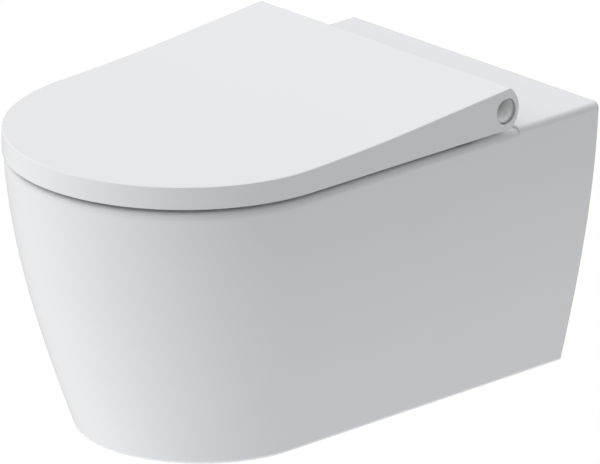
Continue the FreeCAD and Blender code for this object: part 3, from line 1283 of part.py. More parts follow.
def end_cap(side):
    name = "hinge_end_cap_" + side
    body = new_body(name + "_body")
    sketch = new_sketch(body, name + "_half", "XY_Plane")
    front, back = value(f"{LID_HALF} - dims.cap_recess"), value(CAP_BACK)
    border = value("dims.ear_bore - dims.cap_gap")
    lip = border - value("dims.cap_lip")
    dome = value("dims.cap_dome")
    dome_radius = (lip ** 2 + dome ** 2) / (2 * dome)
    middle = FreeCAD.Vector(front + dome - dome_radius, 0, 0)
    corners = [(front + dome, 0), (back, 0), (back, border), (front, border), (front, lip)]
    for first, second in zip(corners, corners[1:]):
        draw_line(sketch, first, second)
    lean = math.atan2(lip, front - middle.x)
    circle = Part.Circle(middle, UPWARDS, dome_radius)
    sketch.addGeometry(Part.ArcOfCircle(circle, 0, lean))
    for index in (0, 1, 2):
        relate(sketch, "Coincident", index, 2, index + 1, 1)
    relate(sketch, "Coincident", 3, 2, 4, 2)
    relate(sketch, "Coincident", 4, 1, 0, 1)
    relate(sketch, "PointOnObject", 0, 1, -1)
    relate(sketch, "PointOnObject", 0, 2, -1)
    relate(sketch, "PointOnObject", 4, 3, -1)
    relate(sketch, "Vertical", 1)
    relate(sketch, "Horizontal", 2)
    relate(sketch, "Vertical", 3)
    measure(sketch, "DistanceX", (-1, 1, 0, 1), f"{LID_HALF} - dims.cap_recess + dims.cap_dome")
    measure(sketch, "DistanceX", (-1, 1, 1, 1), CAP_BACK)
    measure(sketch, "DistanceX", (-1, 1, 3, 1), f"{LID_HALF} - dims.cap_recess")
    measure(sketch, "DistanceY", (-1, 1, 2, 1), "dims.ear_bore - dims.cap_gap")
    measure(sketch, "DistanceY", (-1, 1, 3, 2), "dims.ear_bore - dims.cap_gap - dims.cap_lip")
    revolve(body, sketch, "H_Axis")
    place(body, None, HINGE_Y, HINGE_Z, HALF_TURN if side == "left" else None)
    finish(body, name)


end_cap("left")
end_cap("right")

# Flush inlet seal: rubber sleeve in the ceramic inlet

SEAL_RADIUS = "(dims.inlet_radius - dims.fit_clearance)"
seal = turned("flush_inlet_seal_body", "XY_Plane", "V_Axis", [
    ("dims.seal_bore", "-dims.seal_length"),
    (f"{SEAL_RADIUS} - dims.seal_bevel", "-dims.seal_length"),
    (SEAL_RADIUS, "dims.seal_bevel - dims.seal_length"),
    (SEAL_RADIUS, "-dims.seal_recess"),
    ("dims.seal_bore", "-dims.seal_recess"),
])
place(seal, "0", "0", "dims.inlet_rise")
finish(seal, "flush_inlet_seal")

# Wall fixings: plastic bush through the rear web, washer and nut behind it


def wall_fixing(label, corners):
    body = turned(label + "_one", "XY_Plane", "V_Axis", corners)
    place(body, "dims.fixing_spacing / 2", "0", "0")
    finish(mirrored_sets(label, [body]), label)


BUSH_BACK = "(-dims.web_thickness - dims.bush_flange_depth)"
WASHER_BACK = f"({BUSH_BACK} - dims.washer_thickness)"
wall_fixing("wall_fixing_bushes", [
    ("dims.stud_hole", BUSH_BACK),
    ("dims.bush_flange", BUSH_BACK),
    ("dims.bush_flange", "-dims.web_thickness"),
    ("dims.fixing_hole - dims.fit_clearance", "-dims.web_thickness"),
    ("dims.fixing_hole - dims.fit_clearance", "0"),
    ("dims.stud_hole", "0"),
])
wall_fixing("wall_fixing_washers", [
    ("dims.stud_hole", WASHER_BACK),
    ("dims.washer_radius", WASHER_BACK),
    ("dims.washer_radius", BUSH_BACK),
    ("dims.stud_hole", BUSH_BACK),
])

nut = new_body("wall_fixing_nut")
hexagon = new_sketch(nut, "wall_fixing_nut_plan", "XZ_Plane")
NUT_CORNER = "(dims.nut_flats / sqrt(3))"
draw_outline(hexagon, [
    (f"{NUT_CORNER} * cos({angle} deg)", f"{NUT_CORNER} * sin({angle} deg)") for angle in range(0, 360, 60)
])
draw_circle(hexagon, "0", "0", "dims.stud_hole")
pad(nut, hexagon, "dims.nut_height")
place(nut, "dims.fixing_spacing / 2", WASHER_BACK, "0")
finish(mirrored_sets("wall_fixing_nuts", [nut]), "wall_fixing_nuts")

# Check every object and write one file for each piece

doc.recompute()
for item in doc.Objects:
    if "Invalid" in item.State or "Error" in item.State:
        raise RuntimeError(f"{item.Name} is not right: {item.State}")
os.makedirs("parts", exist_ok=True)
for item in finished:
    if item.Shape.isNull() or not item.Shape.isValid() or item.Shape.Volume <= 0:
        raise RuntimeError(f"{item.Label} has no sound shape")
    item.Shape.exportStep(f"parts/{item.Label}.step")
    print(item.Label, len(item.Shape.Solids), round(item.Shape.Volume / 1000, 3))
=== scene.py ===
import bpy
import math
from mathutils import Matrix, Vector


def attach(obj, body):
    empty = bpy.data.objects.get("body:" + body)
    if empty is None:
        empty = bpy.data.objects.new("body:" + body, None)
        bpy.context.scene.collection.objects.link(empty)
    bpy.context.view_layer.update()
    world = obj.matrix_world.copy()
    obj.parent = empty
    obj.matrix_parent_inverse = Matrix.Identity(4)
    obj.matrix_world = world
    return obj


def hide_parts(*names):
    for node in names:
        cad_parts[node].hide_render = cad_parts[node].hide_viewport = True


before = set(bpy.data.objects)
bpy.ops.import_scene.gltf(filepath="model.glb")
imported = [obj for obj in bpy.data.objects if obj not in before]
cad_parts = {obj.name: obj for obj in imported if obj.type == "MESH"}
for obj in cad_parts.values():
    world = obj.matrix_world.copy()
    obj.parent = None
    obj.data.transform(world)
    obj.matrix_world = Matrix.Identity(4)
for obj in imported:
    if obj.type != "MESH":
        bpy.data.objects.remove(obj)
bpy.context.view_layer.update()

# Ceramic pan
# White vitreous china, slip cast as skirt, bowl, trapway and flush way, stuck together while damp.
# One glaze covers all of it but the wall face, which is wiped bare and fires to a dull pale buff.


def new_finish(name, colour, roughness, metallic=0):
    """A material of one colour, for patterns to be added to."""
    finish = bpy.data.materials.new(name)
    finish.use_nodes = True
    shader = finish.node_tree.nodes["Principled BSDF"]
    shader.inputs["Base Color"].default_value = (*colour, 1)
    shader.inputs["Roughness"].default_value = roughness
    shader.inputs["Metallic"].default_value = metallic
    return finish, shader


def noise_over(finish, size, detail):
    """Noise on the piece's own place, in patches of a given size."""
    nodes, links = finish.node_tree.nodes, finish.node_tree.links
    place = nodes.new("ShaderNodeTexCoord")
    noise = nodes.new("ShaderNodeTexNoise")
    noise.inputs["Scale"].default_value = 1 / size
    noise.inputs["Detail"].default_value = detail
    links.new(place.outputs["Object"], noise.inputs["Vector"])
    return noise.outputs["Fac"]


PATTERN_LOW = 0.15
PATTERN_HIGH = 0.85


def spread(finish, factor, low, high):
    """A number that follows a pattern between two limits."""
    ramp = finish.node_tree.nodes.new("ShaderNodeMapRange")
    ramp.interpolation_type = "SMOOTHERSTEP"
    ramp.inputs["From Min"].default_value = PATTERN_LOW
    ramp.inputs["From Max"].default_value = PATTERN_HIGH
    ramp.inputs["To Min"].default_value = low
    ramp.inputs["To Max"].default_value = high
    finish.node_tree.links.new(factor, ramp.inputs["Value"])
    return ramp.outputs["Result"]


MIX_FACTOR = 0
MIX_FIRST_COLOUR = 6
MIX_SECOND_COLOUR = 7
MIX_RESULT_COLOUR = 2


def blend_tones(finish, factor, first, second):
    """A colour that goes from one tone, or another pattern's colour, to a second one."""
    mix = finish.node_tree.nodes.new("ShaderNodeMix")
    mix.data_type = "RGBA"
    if isinstance(first, tuple):
        mix.inputs[MIX_FIRST_COLOUR].default_value = (*first, 1)
    else:
        finish.node_tree.links.new(first, mix.inputs[MIX_FIRST_COLOUR])
    mix.inputs[MIX_SECOND_COLOUR].default_value = (*second, 1)
    finish.node_tree.links.new(factor, mix.inputs[MIX_FACTOR])
    return mix.outputs[MIX_RESULT_COLOUR]


def mottle(finish, shader, tones, roughness, size, detail=2):
    """Soft clouds between two tones and between two roughnesses."""
    cloud = noise_over(finish, size, detail)
    tone = blend_tones(finish, spread(finish, cloud, 0, 1), *tones)
    gloss = spread(finish, cloud, *roughness)
    finish.node_tree.links.new(tone, shader.inputs["Base Color"])
    finish.node_tree.links.new(gloss, shader.inputs["Roughness"])
    return tone, gloss


def emboss(finish, shader, pattern, height):
    """Relief of a given height from a pattern."""
    relief = finish.node_tree.nodes.new("ShaderNodeBump")
    relief.inputs["Strength"].default_value = 1
    relief.inputs["Distance"].default_value = height
    finish.node_tree.links.new(pattern, relief.inputs["Height"])
    finish.node_tree.links.new(relief.outputs["Normal"], shader.inputs["Normal"])


def grain(finish, shader, size, height, detail=2):
    """Fine relief all over a piece, in grains of a given size."""
    emboss(finish, shader, noise_over(finish, size, detail), height)


def dress(node, finish):
    """Gives a solid that stays as it is a better finish."""
    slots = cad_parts[node].data.materials
    slots.clear()
    slots.append(finish)


MM = 0.001
GLAZE = (0.838, 0.848, 0.862)
GLAZE_DEEP = (0.828, 0.839, 0.855)
BISCUIT = (0.66, 0.63, 0.58)
WIPED_FROM = -0.6 * MM
WIPED_BARE = -0.2 * MM
GLAZE_TONES = (GLAZE, GLAZE_DEEP)
glaze, glaze_shader = new_finish("white_glaze", GLAZE, roughness=0.2)
glaze_tone, glaze_gloss = mottle(glaze, glaze_shader, GLAZE_TONES, roughness=(0.17, 0.23), size=90 * MM)
glaze_place = glaze.node_tree.nodes.new("ShaderNodeTexCoord")
glaze_axes = glaze.node_tree.nodes.new("ShaderNodeSeparateXYZ")
wiped = glaze.node_tree.nodes.new("ShaderNodeMapRange")
wiped.inputs["From Min"].default_value = WIPED_FROM
wiped.inputs["From Max"].default_value = WIPED_BARE
glaze.node_tree.links.new(glaze_place.outputs["Object"], glaze_axes.inputs["Vector"])
glaze.node_tree.links.new(glaze_axes.outputs["Y"], wiped.inputs["Value"])
bare_tone = blend_tones(glaze, wiped.outputs["Result"], glaze_tone, BISCUIT)
bare_gloss = glaze.node_tree.nodes.new("ShaderNodeMath")
bare_gloss.operation = "MAXIMUM"
glaze.node_tree.links.new(glaze_gloss, bare_gloss.inputs[0])
glaze.node_tree.links.new(wiped.outputs["Result"], bare_gloss.inputs[1])
glaze.node_tree.links.new(bare_tone, glaze_shader.inputs["Base Color"])
glaze.node_tree.links.new(bare_gloss.outputs["Value"], glaze_shader.inputs["Roughness"])
grain(glaze, glaze_shader, size=14 * MM, height=0.012 * MM)
for casting in ("ceramic_pan", "bowl", "trapway", "flush_way"):
    dress(casting, glaze)

# Flush inlet seal
# A black rubber sleeve pressed into the ceramic inlet, moulded with soft lips inside
# that close on the flush pipe when it is pushed in.

WELD = 0.001 * MM
SMOOTH_ANGLE = math.radians(35)


def turned(name, outline, centre, axis, steps=48):
    """A closed half section in millimetres, (along the axis, out from it), drawn by extrusion and spun."""
    along = Vector(axis)
    out = Vector((1, 0, 0))
    points = [Vector(centre) + (along * step + out * radius) * MM for step, radius in outline]
    bpy.ops.object.select_all(action="DESELECT")
    bpy.ops.mesh.primitive_plane_add(size=MM)
    piece = bpy.context.object
    piece.name = name
    bpy.ops.object.mode_set(mode="EDIT")
    bpy.ops.mesh.select_mode(type="VERT")
    bpy.ops.mesh.select_all(action="SELECT")
    bpy.ops.mesh.merge(type="CENTER")
    bpy.ops.transform.translate(value=points[0])
    for start, end in zip(points, points[1:] + points[:1]):
        bpy.ops.mesh.extrude_region_move(TRANSFORM_OT_translate={"value": end - start})
    bpy.ops.mesh.select_all(action="SELECT")
    bpy.ops.mesh.remove_doubles(threshold=WELD)
    bpy.ops.mesh.spin(steps=steps, angle=2 * math.pi, center=centre, axis=axis)
    bpy.ops.mesh.select_all(action="SELECT")
    bpy.ops.mesh.remove_doubles(threshold=WELD)
    bpy.ops.mesh.normals_make_consistent(inside=False)
    bpy.ops.object.mode_set(mode="OBJECT")
    bpy.ops.object.shade_smooth_by_angle(angle=SMOOTH_ANGLE)
    return piece


def fit(piece, finish, body, node):
    """Gives a piece its finish and puts it in the place of its solid."""
    piece.data.materials.clear()
    piece.data.materials.append(finish)
    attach(piece, body)
    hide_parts(node)


BLACK_RUBBER = (0.026, 0.026, 0.028)
RUBBER_BLOOM = (0.05, 0.05, 0.052)
black_rubber, black_rubber_shader = new_finish("black_rubber", BLACK_RUBBER, roughness=0.6)
RUBBER_TONES = (BLACK_RUBBER, RUBBER_BLOOM)
mottle(black_rubber, black_rubber_shader, RUBBER_TONES, roughness=(0.5, 0.72), size=9 * MM, detail=4)
grain(black_rubber, black_rubber_shader, size=0.9 * MM, height=0.03 * MM, detail=3)

INLET_PLACE = (0, 0, 35 * MM)
TO_WALL = (0, 1, 0)
LIP_PLACES = (-37, -29, -21, -13)
LIP_REACH = 22.6
LIP_ROOT = 24.2
SEAL_OUT = 27.4
seal_lips = []
for lip in LIP_PLACES:
    seal_lips += [(lip - 2.6, LIP_ROOT), (lip - 1.2, LIP_ROOT)]
    seal_lips += [(lip, LIP_REACH), (lip + 1.4, LIP_REACH), (lip + 2, 23.2)]
seal_outline = [(-43.4, 23), *seal_lips, (-6, 24), (-1.8, 24.6), (-1, 25.4), (-1, 26.8), (-1.6, SEAL_OUT)]
seal_outline += [(-42.6, SEAL_OUT), (-43.6, 26.4), (-44, 25.4), (-44, 23.8)]
seal = turned("inlet_seal", seal_outline, INLET_PLACE, TO_WALL, steps=64)
fit(seal, black_rubber, "pan", "flush_inlet_seal")

# Wall fixings
# Two studs in the wall carry the pan. On each a grey nylon bush lines the hole in the rear web,
# and a zinc plated washer and hexagon nut pull the pan against the wall from inside its rear chamber.


def copied(piece, name, move):
    """The same piece in another place, with a mesh of its own."""
    bpy.ops.object.select_all(action="DESELECT")
    piece.select_set(True)
    bpy.context.view_layer.objects.active = piece
    bpy.ops.object.duplicate()
    twin = bpy.context.object
    twin.name = name
    bpy.ops.object.mode_set(mode="EDIT")
    bpy.ops.mesh.select_all(action="SELECT")
    bpy.ops.transform.translate(value=move)
    bpy.ops.object.mode_set(mode="OBJECT")
    return twin


SLIVER = 0.01 * MM


def trimmed(piece, tool, how):
    """Cuts a piece with a second one, or keeps what both share, and takes the second one away."""
    bpy.ops.object.select_all(action="DESELECT")
    piece.select_set(True)
    bpy.context.view_layer.objects.active = piece
    cut = piece.modifiers.new("trim", "BOOLEAN")
    cut.operation = how
    cut.solver = "EXACT"
    cut.object = tool
    bpy.ops.object.modifier_apply(modifier=cut.name)
    bpy.data.objects.remove(tool, do_unlink=True)
    bpy.ops.object.mode_set(mode="EDIT")
    bpy.ops.mesh.select_all(action="SELECT")
    bpy.ops.mesh.remove_doubles(threshold=SLIVER)
    bpy.ops.mesh.dissolve_degenerate(threshold=SLIVER)
    bpy.ops.mesh.normals_make_consistent(inside=False)
    bpy.ops.object.mode_set(mode="OBJECT")
    bpy.ops.object.shade_smooth_by_angle(angle=SMOOTH_ANGLE)


def prism(name, flats, length, centre, axis):
    """A hexagon bar of a given width across flats and length, with its middle at a place."""
    bpy.ops.object.select_all(action="DESELECT")
    bpy.ops.mesh.primitive_cylinder_add(vertices=6, radius=flats * MM / math.sqrt(3), depth=length * MM)
    bar = bpy.context.object
    bar.name = name
    bpy.ops.object.mode_set(mode="EDIT")
    bpy.ops.mesh.select_all(action="SELECT")
    if axis == TO_WALL:
        bpy.ops.transform.rotate(value=math.pi / 2, orient_axis="X", center_override=(0, 0, 0))
    bpy.ops.transform.translate(value=centre)
    bpy.ops.mesh.normals_make_consistent(inside=False)
    bpy.ops.object.mode_set(mode="OBJECT")
    return bar


FLANK_FOOT = 0.1
CREST_START = 0.5
CREST_END = 0.65


def thread(start, end, pitch, core, crest):
    """Outline points of a thread along an axis, as a row of grooves."""
    turns = int(round((end - start) / pitch))
    points = []
    for turn in range(turns):
        low = start + turn * pitch
        points += [(low + FLANK_FOOT * pitch, core)]
        points += [(low + CREST_START * pitch, crest), (low + CREST_END * pitch, crest)]
    return points + [(end, core)]


GREY_NYLON = (0.4, 0.41, 0.42)
GREY_NYLON_PALE = (0.45, 0.46, 0.47)
grey_nylon, grey_nylon_shader = new_finish("grey_nylon", GREY_NYLON, roughness=0.5)
NYLON_TONES = (GREY_NYLON, GREY_NYLON_PALE)
mottle(grey_nylon, grey_nylon_shader, NYLON_TONES, roughness=(0.42, 0.58), size=5 * MM, detail=4)
grain(grey_nylon, grey_nylon_shader, size=1.2 * MM, height=0.02 * MM)
ZINC = (0.56, 0.58, 0.6)
ZINC_STRAW = (0.66, 0.64, 0.55)
zinc, zinc_shader = new_finish("zinc_plate", ZINC, roughness=0.3, metallic=1)
mottle(zinc, zinc_shader, (ZINC, ZINC_STRAW), roughness=(0.22, 0.42), size=6 * MM, detail=4)
grain(zinc, zinc_shader, size=0.7 * MM, height=0.012 * MM, detail=3)

STUD_X = 90 * MM
STUD_PLACE = (STUD_X, 0, 0)
STUD_HOLE = 6.6
BUSH_OUTLINE = [
    (-17.4, STUD_HOLE), (-18, 7.3), (-18, 15.6), (-17.5, 16), (-18, 16.4), (-18, 17.2), (-17.3, 18),
    (-14.7, 18), (-14, 17.6), (-14, 12.45), (-10.4, 12.45), (-10, 12.1), (-6.4, 12.1), (-6, 12.45),
    (-1.2, 12.45), (0, 11.6), (0, 7.3), (-0.6, STUD_HOLE),
]
WASHER_OUTLINE = [
    (-20.1, STUD_HOLE), (-20.5, 7), (-20.5, 14.2), (-20.2, 14.8), (-19.6, 15), (-18.2, 15), (-18, 14.8),
    (-18, 6.9), (-18.3, STUD_HOLE),
]
bush = turned("wall_bush_right", BUSH_OUTLINE, STUD_PLACE, TO_WALL)
washer = turned("wall_washer_right", WASHER_OUTLINE, STUD_PLACE, TO_WALL)
NUT_FLATS = 19
NUT_BACK = -20.5
NUT_FRONT = -30.5
NUT_MIDDLE = (STUD_X, (NUT_BACK + NUT_FRONT) / 2 * MM, 0)
NUT_FACE = 9.2
NUT_CORNER = 11.1
NUT_BEVEL = 1.1
TAP_CREST = 6.95
TAP_MOUTH = 7.1
TAP_PAST = 7.9
CUT_PAST = 1
nut = prism("wall_nut_right", NUT_FLATS, NUT_BACK - NUT_FRONT + 2 * CUT_PAST, NUT_MIDDLE, TO_WALL)
nut_outline = [(NUT_FRONT, 0), (NUT_FRONT, NUT_FACE), (NUT_FRONT + NUT_BEVEL, NUT_CORNER)]
nut_outline += [(NUT_BACK - NUT_BEVEL, NUT_CORNER), (NUT_BACK, NUT_FACE), (NUT_BACK, 0)]
trimmed(nut, turned("nut_bevel", nut_outline, STUD_PLACE, TO_WALL, steps=96), "INTERSECT")
tap_outline = [(NUT_FRONT - CUT_PAST, 0), (NUT_FRONT - CUT_PAST, TAP_PAST), (NUT_FRONT, TAP_MOUTH)]
tap_outline += thread(NUT_FRONT + 0.5, NUT_BACK - 0.5, pitch=1.5, core=STUD_HOLE, crest=TAP_CREST)
tap_outline += [(NUT_BACK, TAP_MOUTH), (NUT_BACK + CUT_PAST, TAP_PAST), (NUT_BACK + CUT_PAST, 0)]
trimmed(nut, turned("nut_tap", tap_outline, STUD_PLACE, TO_WALL), "DIFFERENCE")
for first, twin_name, finish, node, slot in (
    (bush, "wall_bush_left", grey_nylon, "wall_fixing_bushes", "grey_plastic"),
    (washer, "wall_washer_left", zinc, "wall_fixing_washers", "zinc_steel"),
    (nut, "wall_nut_left", zinc, "wall_fixing_nuts", "zinc_steel"),
):
    for piece in (first, copied(first, twin_name, (-2 * STUD_X, 0, 0))):
        fit(piece, finish, "pan", node)

# Hinge arms
# Two small stainless steel castings on the rear deck, each with a round foot under the fixing screw,
# a stout web and an eye that holds the hinge shaft. Tumbled smooth, so every edge is a little round.

LOOSE = 0.005 * MM
FLAT_ANGLE = math.radians(1)
EDGE_ANGLE = math.radians(28)
ROUND_ANGLE = math.radians(32)


def softened(node, name, radius):
    """A copy of a solid with its loose triangles merged, its flat faces cleaned and its edges rounded."""
    bpy.ops.object.select_all(action="DESELECT")
    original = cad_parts[node]
    piece = bpy.data.objects.new(name, original.data.copy())
    bpy.context.scene.collection.objects.link(piece)
    piece.select_set(True)
    bpy.context.view_layer.objects.active = piece
    bpy.ops.object.mode_set(mode="EDIT")
    bpy.ops.mesh.select_all(action="SELECT")
    bpy.ops.mesh.customdata_custom_splitnormals_clear()
    bpy.ops.mesh.remove_doubles(threshold=LOOSE)
    bpy.ops.mesh.dissolve_limited(angle_limit=FLAT_ANGLE)
    bpy.ops.object.mode_set(mode="OBJECT")
    rounding = piece.modifiers.new("rounding", "BEVEL")
    rounding.width = radius
    rounding.segments = 3
    rounding.limit_method = "ANGLE"
    rounding.angle_limit = EDGE_ANGLE
    bpy.ops.object.modifier_apply(modifier=rounding.name)
    bpy.ops.object.shade_smooth_by_angle(angle=ROUND_ANGLE)
    return piece


ARM_EDGE = 0.7 * MM
CAST_STEEL = (0.56, 0.56, 0.57)
CAST_STEEL_DARK = (0.48, 0.48, 0.49)
cast_steel, cast_steel_shader = new_finish("tumbled_steel", CAST_STEEL, roughness=0.36, metallic=1)
CAST_TONES = (CAST_STEEL, CAST_STEEL_DARK)
mottle(cast_steel, cast_steel_shader, CAST_TONES, roughness=(0.3, 0.46), size=4 * MM, detail=4)
grain(cast_steel, cast_steel_shader, size=0.6 * MM, height=0.02 * MM, detail=3)
for side in ("left", "right"):
    arm = softened(f"hinge_arm_{side}", f"tumbled_arm_{side}", ARM_EDGE)
    fit(arm, cast_steel, "pan", f"hinge_arm_{side}")

# Hinge shafts and grub screws
# Ground stainless steel pins through the arms, with fine marks round them from the lathe.
# A small socket set screw in each eye keeps the shaft from turning.

WAVE_LENGTH = math.pi / 10


def lathe_marks(finish, shader, direction, period, height):
    """Fine rings round a piece that was turned about one axis."""
    nodes, links = finish.node_tree.nodes, finish.node_tree.links
    place = nodes.new("ShaderNodeTexCoord")
    rings = nodes.new("ShaderNodeTexWave")
    rings.bands_direction = direction
    rings.inputs["Scale"].default_value = WAVE_LENGTH / period
    rings.inputs["Distortion"].default_value = 0.6
    links.new(place.outputs["Object"], rings.inputs["Vector"])
    emboss(finish, shader, rings.outputs["Fac"], height)


TURNED_STEEL = (0.6, 0.6, 0.61)
TURNED_STEEL_DARK = (0.54, 0.54, 0.555)
turned_steel, turned_steel_shader = new_finish("turned_steel", TURNED_STEEL, roughness=0.22, metallic=1)
STEEL_TONES = (TURNED_STEEL, TURNED_STEEL_DARK)
mottle(turned_steel, turned_steel_shader, STEEL_TONES, roughness=(0.17, 0.3), size=3 * MM, detail=3)
lathe_marks(turned_steel, turned_steel_shader, "X", period=0.5 * MM, height=0.004 * MM)
for side in ("left", "right"):
    dress(f"hinge_shaft_{side}", turned_steel)

bright_screw, bright_screw_shader = new_finish("bright_screw_steel", TURNED_STEEL, roughness=0.26, metallic=1)
mottle(bright_screw, bright_screw_shader, STEEL_TONES, roughness=(0.2, 0.34), size=3 * MM, detail=3)
grain(bright_screw, bright_screw_shader, size=0.4 * MM, height=0.006 * MM, detail=3)
ARM_X = 77.5 * MM
HINGE_Y = -129.5 * MM
HINGE_Z = 105.2 * MM
UPRIGHT = (0, 0, 1)
GRUB_TIP = 5.05
GRUB_TOP = 9.6
GRUB_KEY_FLATS = 1.55
GRUB_KEY_LENGTH = 3.2
grub_thread = thread(5.4, 9, pitch=0.6, core=1.65, crest=1.98)
grub_outline = [(GRUB_TIP, 0), (GRUB_TIP, 1.3), *grub_thread, (9.3, 1.9), (GRUB_TOP, 1.6), (GRUB_TOP, 0)]
grub = turned("grub_screw_right", grub_outline, (ARM_X, HINGE_Y, HINGE_Z), UPRIGHT, steps=32)
grub_key_place = (ARM_X, HINGE_Y, HINGE_Z + GRUB_TOP * MM)
grub_key = prism("grub_key", GRUB_KEY_FLATS, GRUB_KEY_LENGTH, grub_key_place, UPRIGHT)
trimmed(grub, grub_key, "DIFFERENCE")
for piece in (grub, copied(grub, "grub_screw_left", (-2 * ARM_X, 0, 0))):
    fit(piece, bright_screw, "pan", "hinge_grub_screws")

# Hinge fixings
# Each arm is held from above: a button head socket screw goes through the foot, a rubber gasket and
# a ribbed rubber sleeve, and its brass cone nut spreads the sleeve under the deck as it is tightened.

FOOT_Y = -167.5 * MM
RIM_Z = 80 * MM
FOOT_PLACE = (ARM_X, FOOT_Y, RIM_Z)
gasket = turned("foot_gasket_right", [
    (0, 3.3), (0, 12.6), (0.25, 12.9), (0, 13.2), (0, 14.7), (0.3, 15), (0.7, 15), (1, 14.7), (1, 3.3),
], FOOT_PLACE, UPRIGHT, steps=64)
SCREW_TIP = -50
SCREW_SHANK = 3
SCREW_SEAT = 8
SCREW_HEAD = 5.5
SCREW_TOP = 11.3
SCREW_KEY_FLATS = 4
SCREW_KEY_LENGTH = 4.4
screw_thread = thread(-49.2, -14.2, pitch=1, core=2.52, crest=2.98)
screw_outline = [(SCREW_TIP, 0), (SCREW_TIP, 2.2), *screw_thread, (-13.8, SCREW_SHANK), (7.9, SCREW_SHANK)]
screw_outline += [(SCREW_SEAT, 3.2), (SCREW_SEAT, 5.3), (8.25, SCREW_HEAD), (8.6, SCREW_HEAD), (9.4, 5.2)]
screw_outline += [(10.2, 4.6), (10.8, 3.9), (11.15, 3.2), (SCREW_TOP, 2.6), (SCREW_TOP, 0)]
screw = turned("foot_screw_right", screw_outline, FOOT_PLACE, UPRIGHT, steps=40)
screw_key_place = (ARM_X, FOOT_Y, RIM_Z + SCREW_TOP * MM)
screw_key = prism("screw_key", SCREW_KEY_FLATS, SCREW_KEY_LENGTH, screw_key_place, UPRIGHT)
trimmed(screw, screw_key, "DIFFERENCE")
SLEEVE_BORE = 3.3
SLEEVE_WIDE = 12.5
SLEEVE_TAPER = 4.5 / 13.5
SLEEVE_TAPER_TOP = -26.5
SLEEVE_LOW = -40
SLEEVE_NECK = 9.95
RIB_PLACES = (-37.5, -34.8, -32.1, -29.4)
sleeve_ribs = []
for rib in RIB_PLACES:
    out = SLEEVE_WIDE - SLEEVE_TAPER * (SLEEVE_TAPER_TOP - rib)
    root, crest = out - 0.9, out - 0.1
    sleeve_ribs += [(rib - 1, root), (rib - 0.5, crest), (rib + 0.5, crest), (rib + 1, root)]
sleeve_outline = [(-39.6, SLEEVE_BORE), (SLEEVE_LOW, 3.7), (SLEEVE_LOW, 7.5), (-39.5, 7.9), *sleeve_ribs]
sleeve_outline += [(SLEEVE_TAPER_TOP, 12.4), (-17.6, SLEEVE_WIDE), (-16.6, 12), (-14, SLEEVE_NECK)]
sleeve_outline += [(-0.4, SLEEVE_NECK), (0, 9.5), (0, SLEEVE_BORE)]
sleeve = turned("foot_sleeve_right", sleeve_outline, FOOT_PLACE, UPRIGHT)
BRASS = (0.62, 0.43, 0.17)
BRASS_DULL = (0.5, 0.35, 0.15)
brass, brass_shader = new_finish("turned_brass", BRASS, roughness=0.28, metallic=1)
mottle(brass, brass_shader, (BRASS, BRASS_DULL), roughness=(0.22, 0.4), size=4 * MM, detail=4)
lathe_marks(brass, brass_shader, "Z", period=0.4 * MM, height=0.004 * MM)
CONE_STEPS = 40
KNURL_FROM = 7.9 * MM
KNURL_EDGE = 0.12 * MM
KNURL_DEPTH = 0.35 * MM
cone = turned("foot_cone_nut_right", [
    (-49, 3.6), (-49, 7.5), (-48.5, 8), (-44.2, 8), (-43.8, 7.8), (-40.2, 6), (-40, 5.8), (-40, 3.5),
    (-40.5, 3.05), (-48.5, 3.05),
], FOOT_PLACE, UPRIGHT, steps=CONE_STEPS)
bpy.ops.object.mode_set(mode="EDIT")
bpy.ops.mesh.select_mode(type="FACE")
bpy.ops.mesh.select_all(action="DESELECT")
bpy.ops.object.mode_set(mode="OBJECT")
for face in cone.data.polygons:
    reach = Vector((face.center.x - ARM_X, face.center.y - FOOT_Y, 0))
    step = math.floor(math.atan2(reach.y, reach.x) / (2 * math.pi) * CONE_STEPS)
    on_side = abs(face.normal.z) < 0.1
    face.select = reach.length > KNURL_FROM and on_side and step % 2 == 0
bpy.ops.object.mode_set(mode="EDIT")
bpy.ops.mesh.inset(thickness=KNURL_EDGE, use_individual=True)
bpy.ops.mesh.extrude_faces_move(
    MESH_OT_extrude_faces_indiv={}, TRANSFORM_OT_shrink_fatten={"value": -KNURL_DEPTH})
bpy.ops.object.mode_set(mode="OBJECT")
for first, twin_name, finish, node, slot in (
    (gasket, "foot_gasket_left", black_rubber, "hinge_gaskets", "dark_rubber"),
    (screw, "foot_screw_left", bright_screw, "hinge_fixing_screws", "bright_steel"),
    (sleeve, "foot_sleeve_left", black_rubber, "hinge_expansion_sleeves", "dark_rubber"),
    (cone, "foot_cone_nut_left", brass, "hinge_cone_nuts", "brass"),
):
    for piece in (first, copied(first, twin_name, (-2 * ARM_X, 0, 0))):
        fit(piece, finish, "pan", node)

# Seat ring
# Hot pressed white thermoset, a heavy ring with two lugs at the rear that turn on the hinge shafts.
# It comes out of a polished tool, a little whiter than the ceramic and less glossy than its glaze.

THERMOSET = (0.842, 0.85, 0.862)
THERMOSET_DEEP = (0.838, 0.8465, 0.859)
thermoset, thermoset_shader = new_finish("white_thermoset", THERMOSET, roughness=0.25)
THERMOSET_TONES = (THERMOSET, THERMOSET_DEEP)
mottle(thermoset, thermoset_shader, THERMOSET_TONES, roughness=(0.23, 0.27), size=300 * MM, detail=0)
grain(thermoset, thermoset_shader, size=6 * MM, height=0.002 * MM)
dress("seat_ring", thermoset)

# Seat buffers
# Four soft grey rubber feet pressed into the underside of the seat. Each has a rounded pad with a dimple
# and a neck, so that the pad gives a little as the seat comes down on the rim.

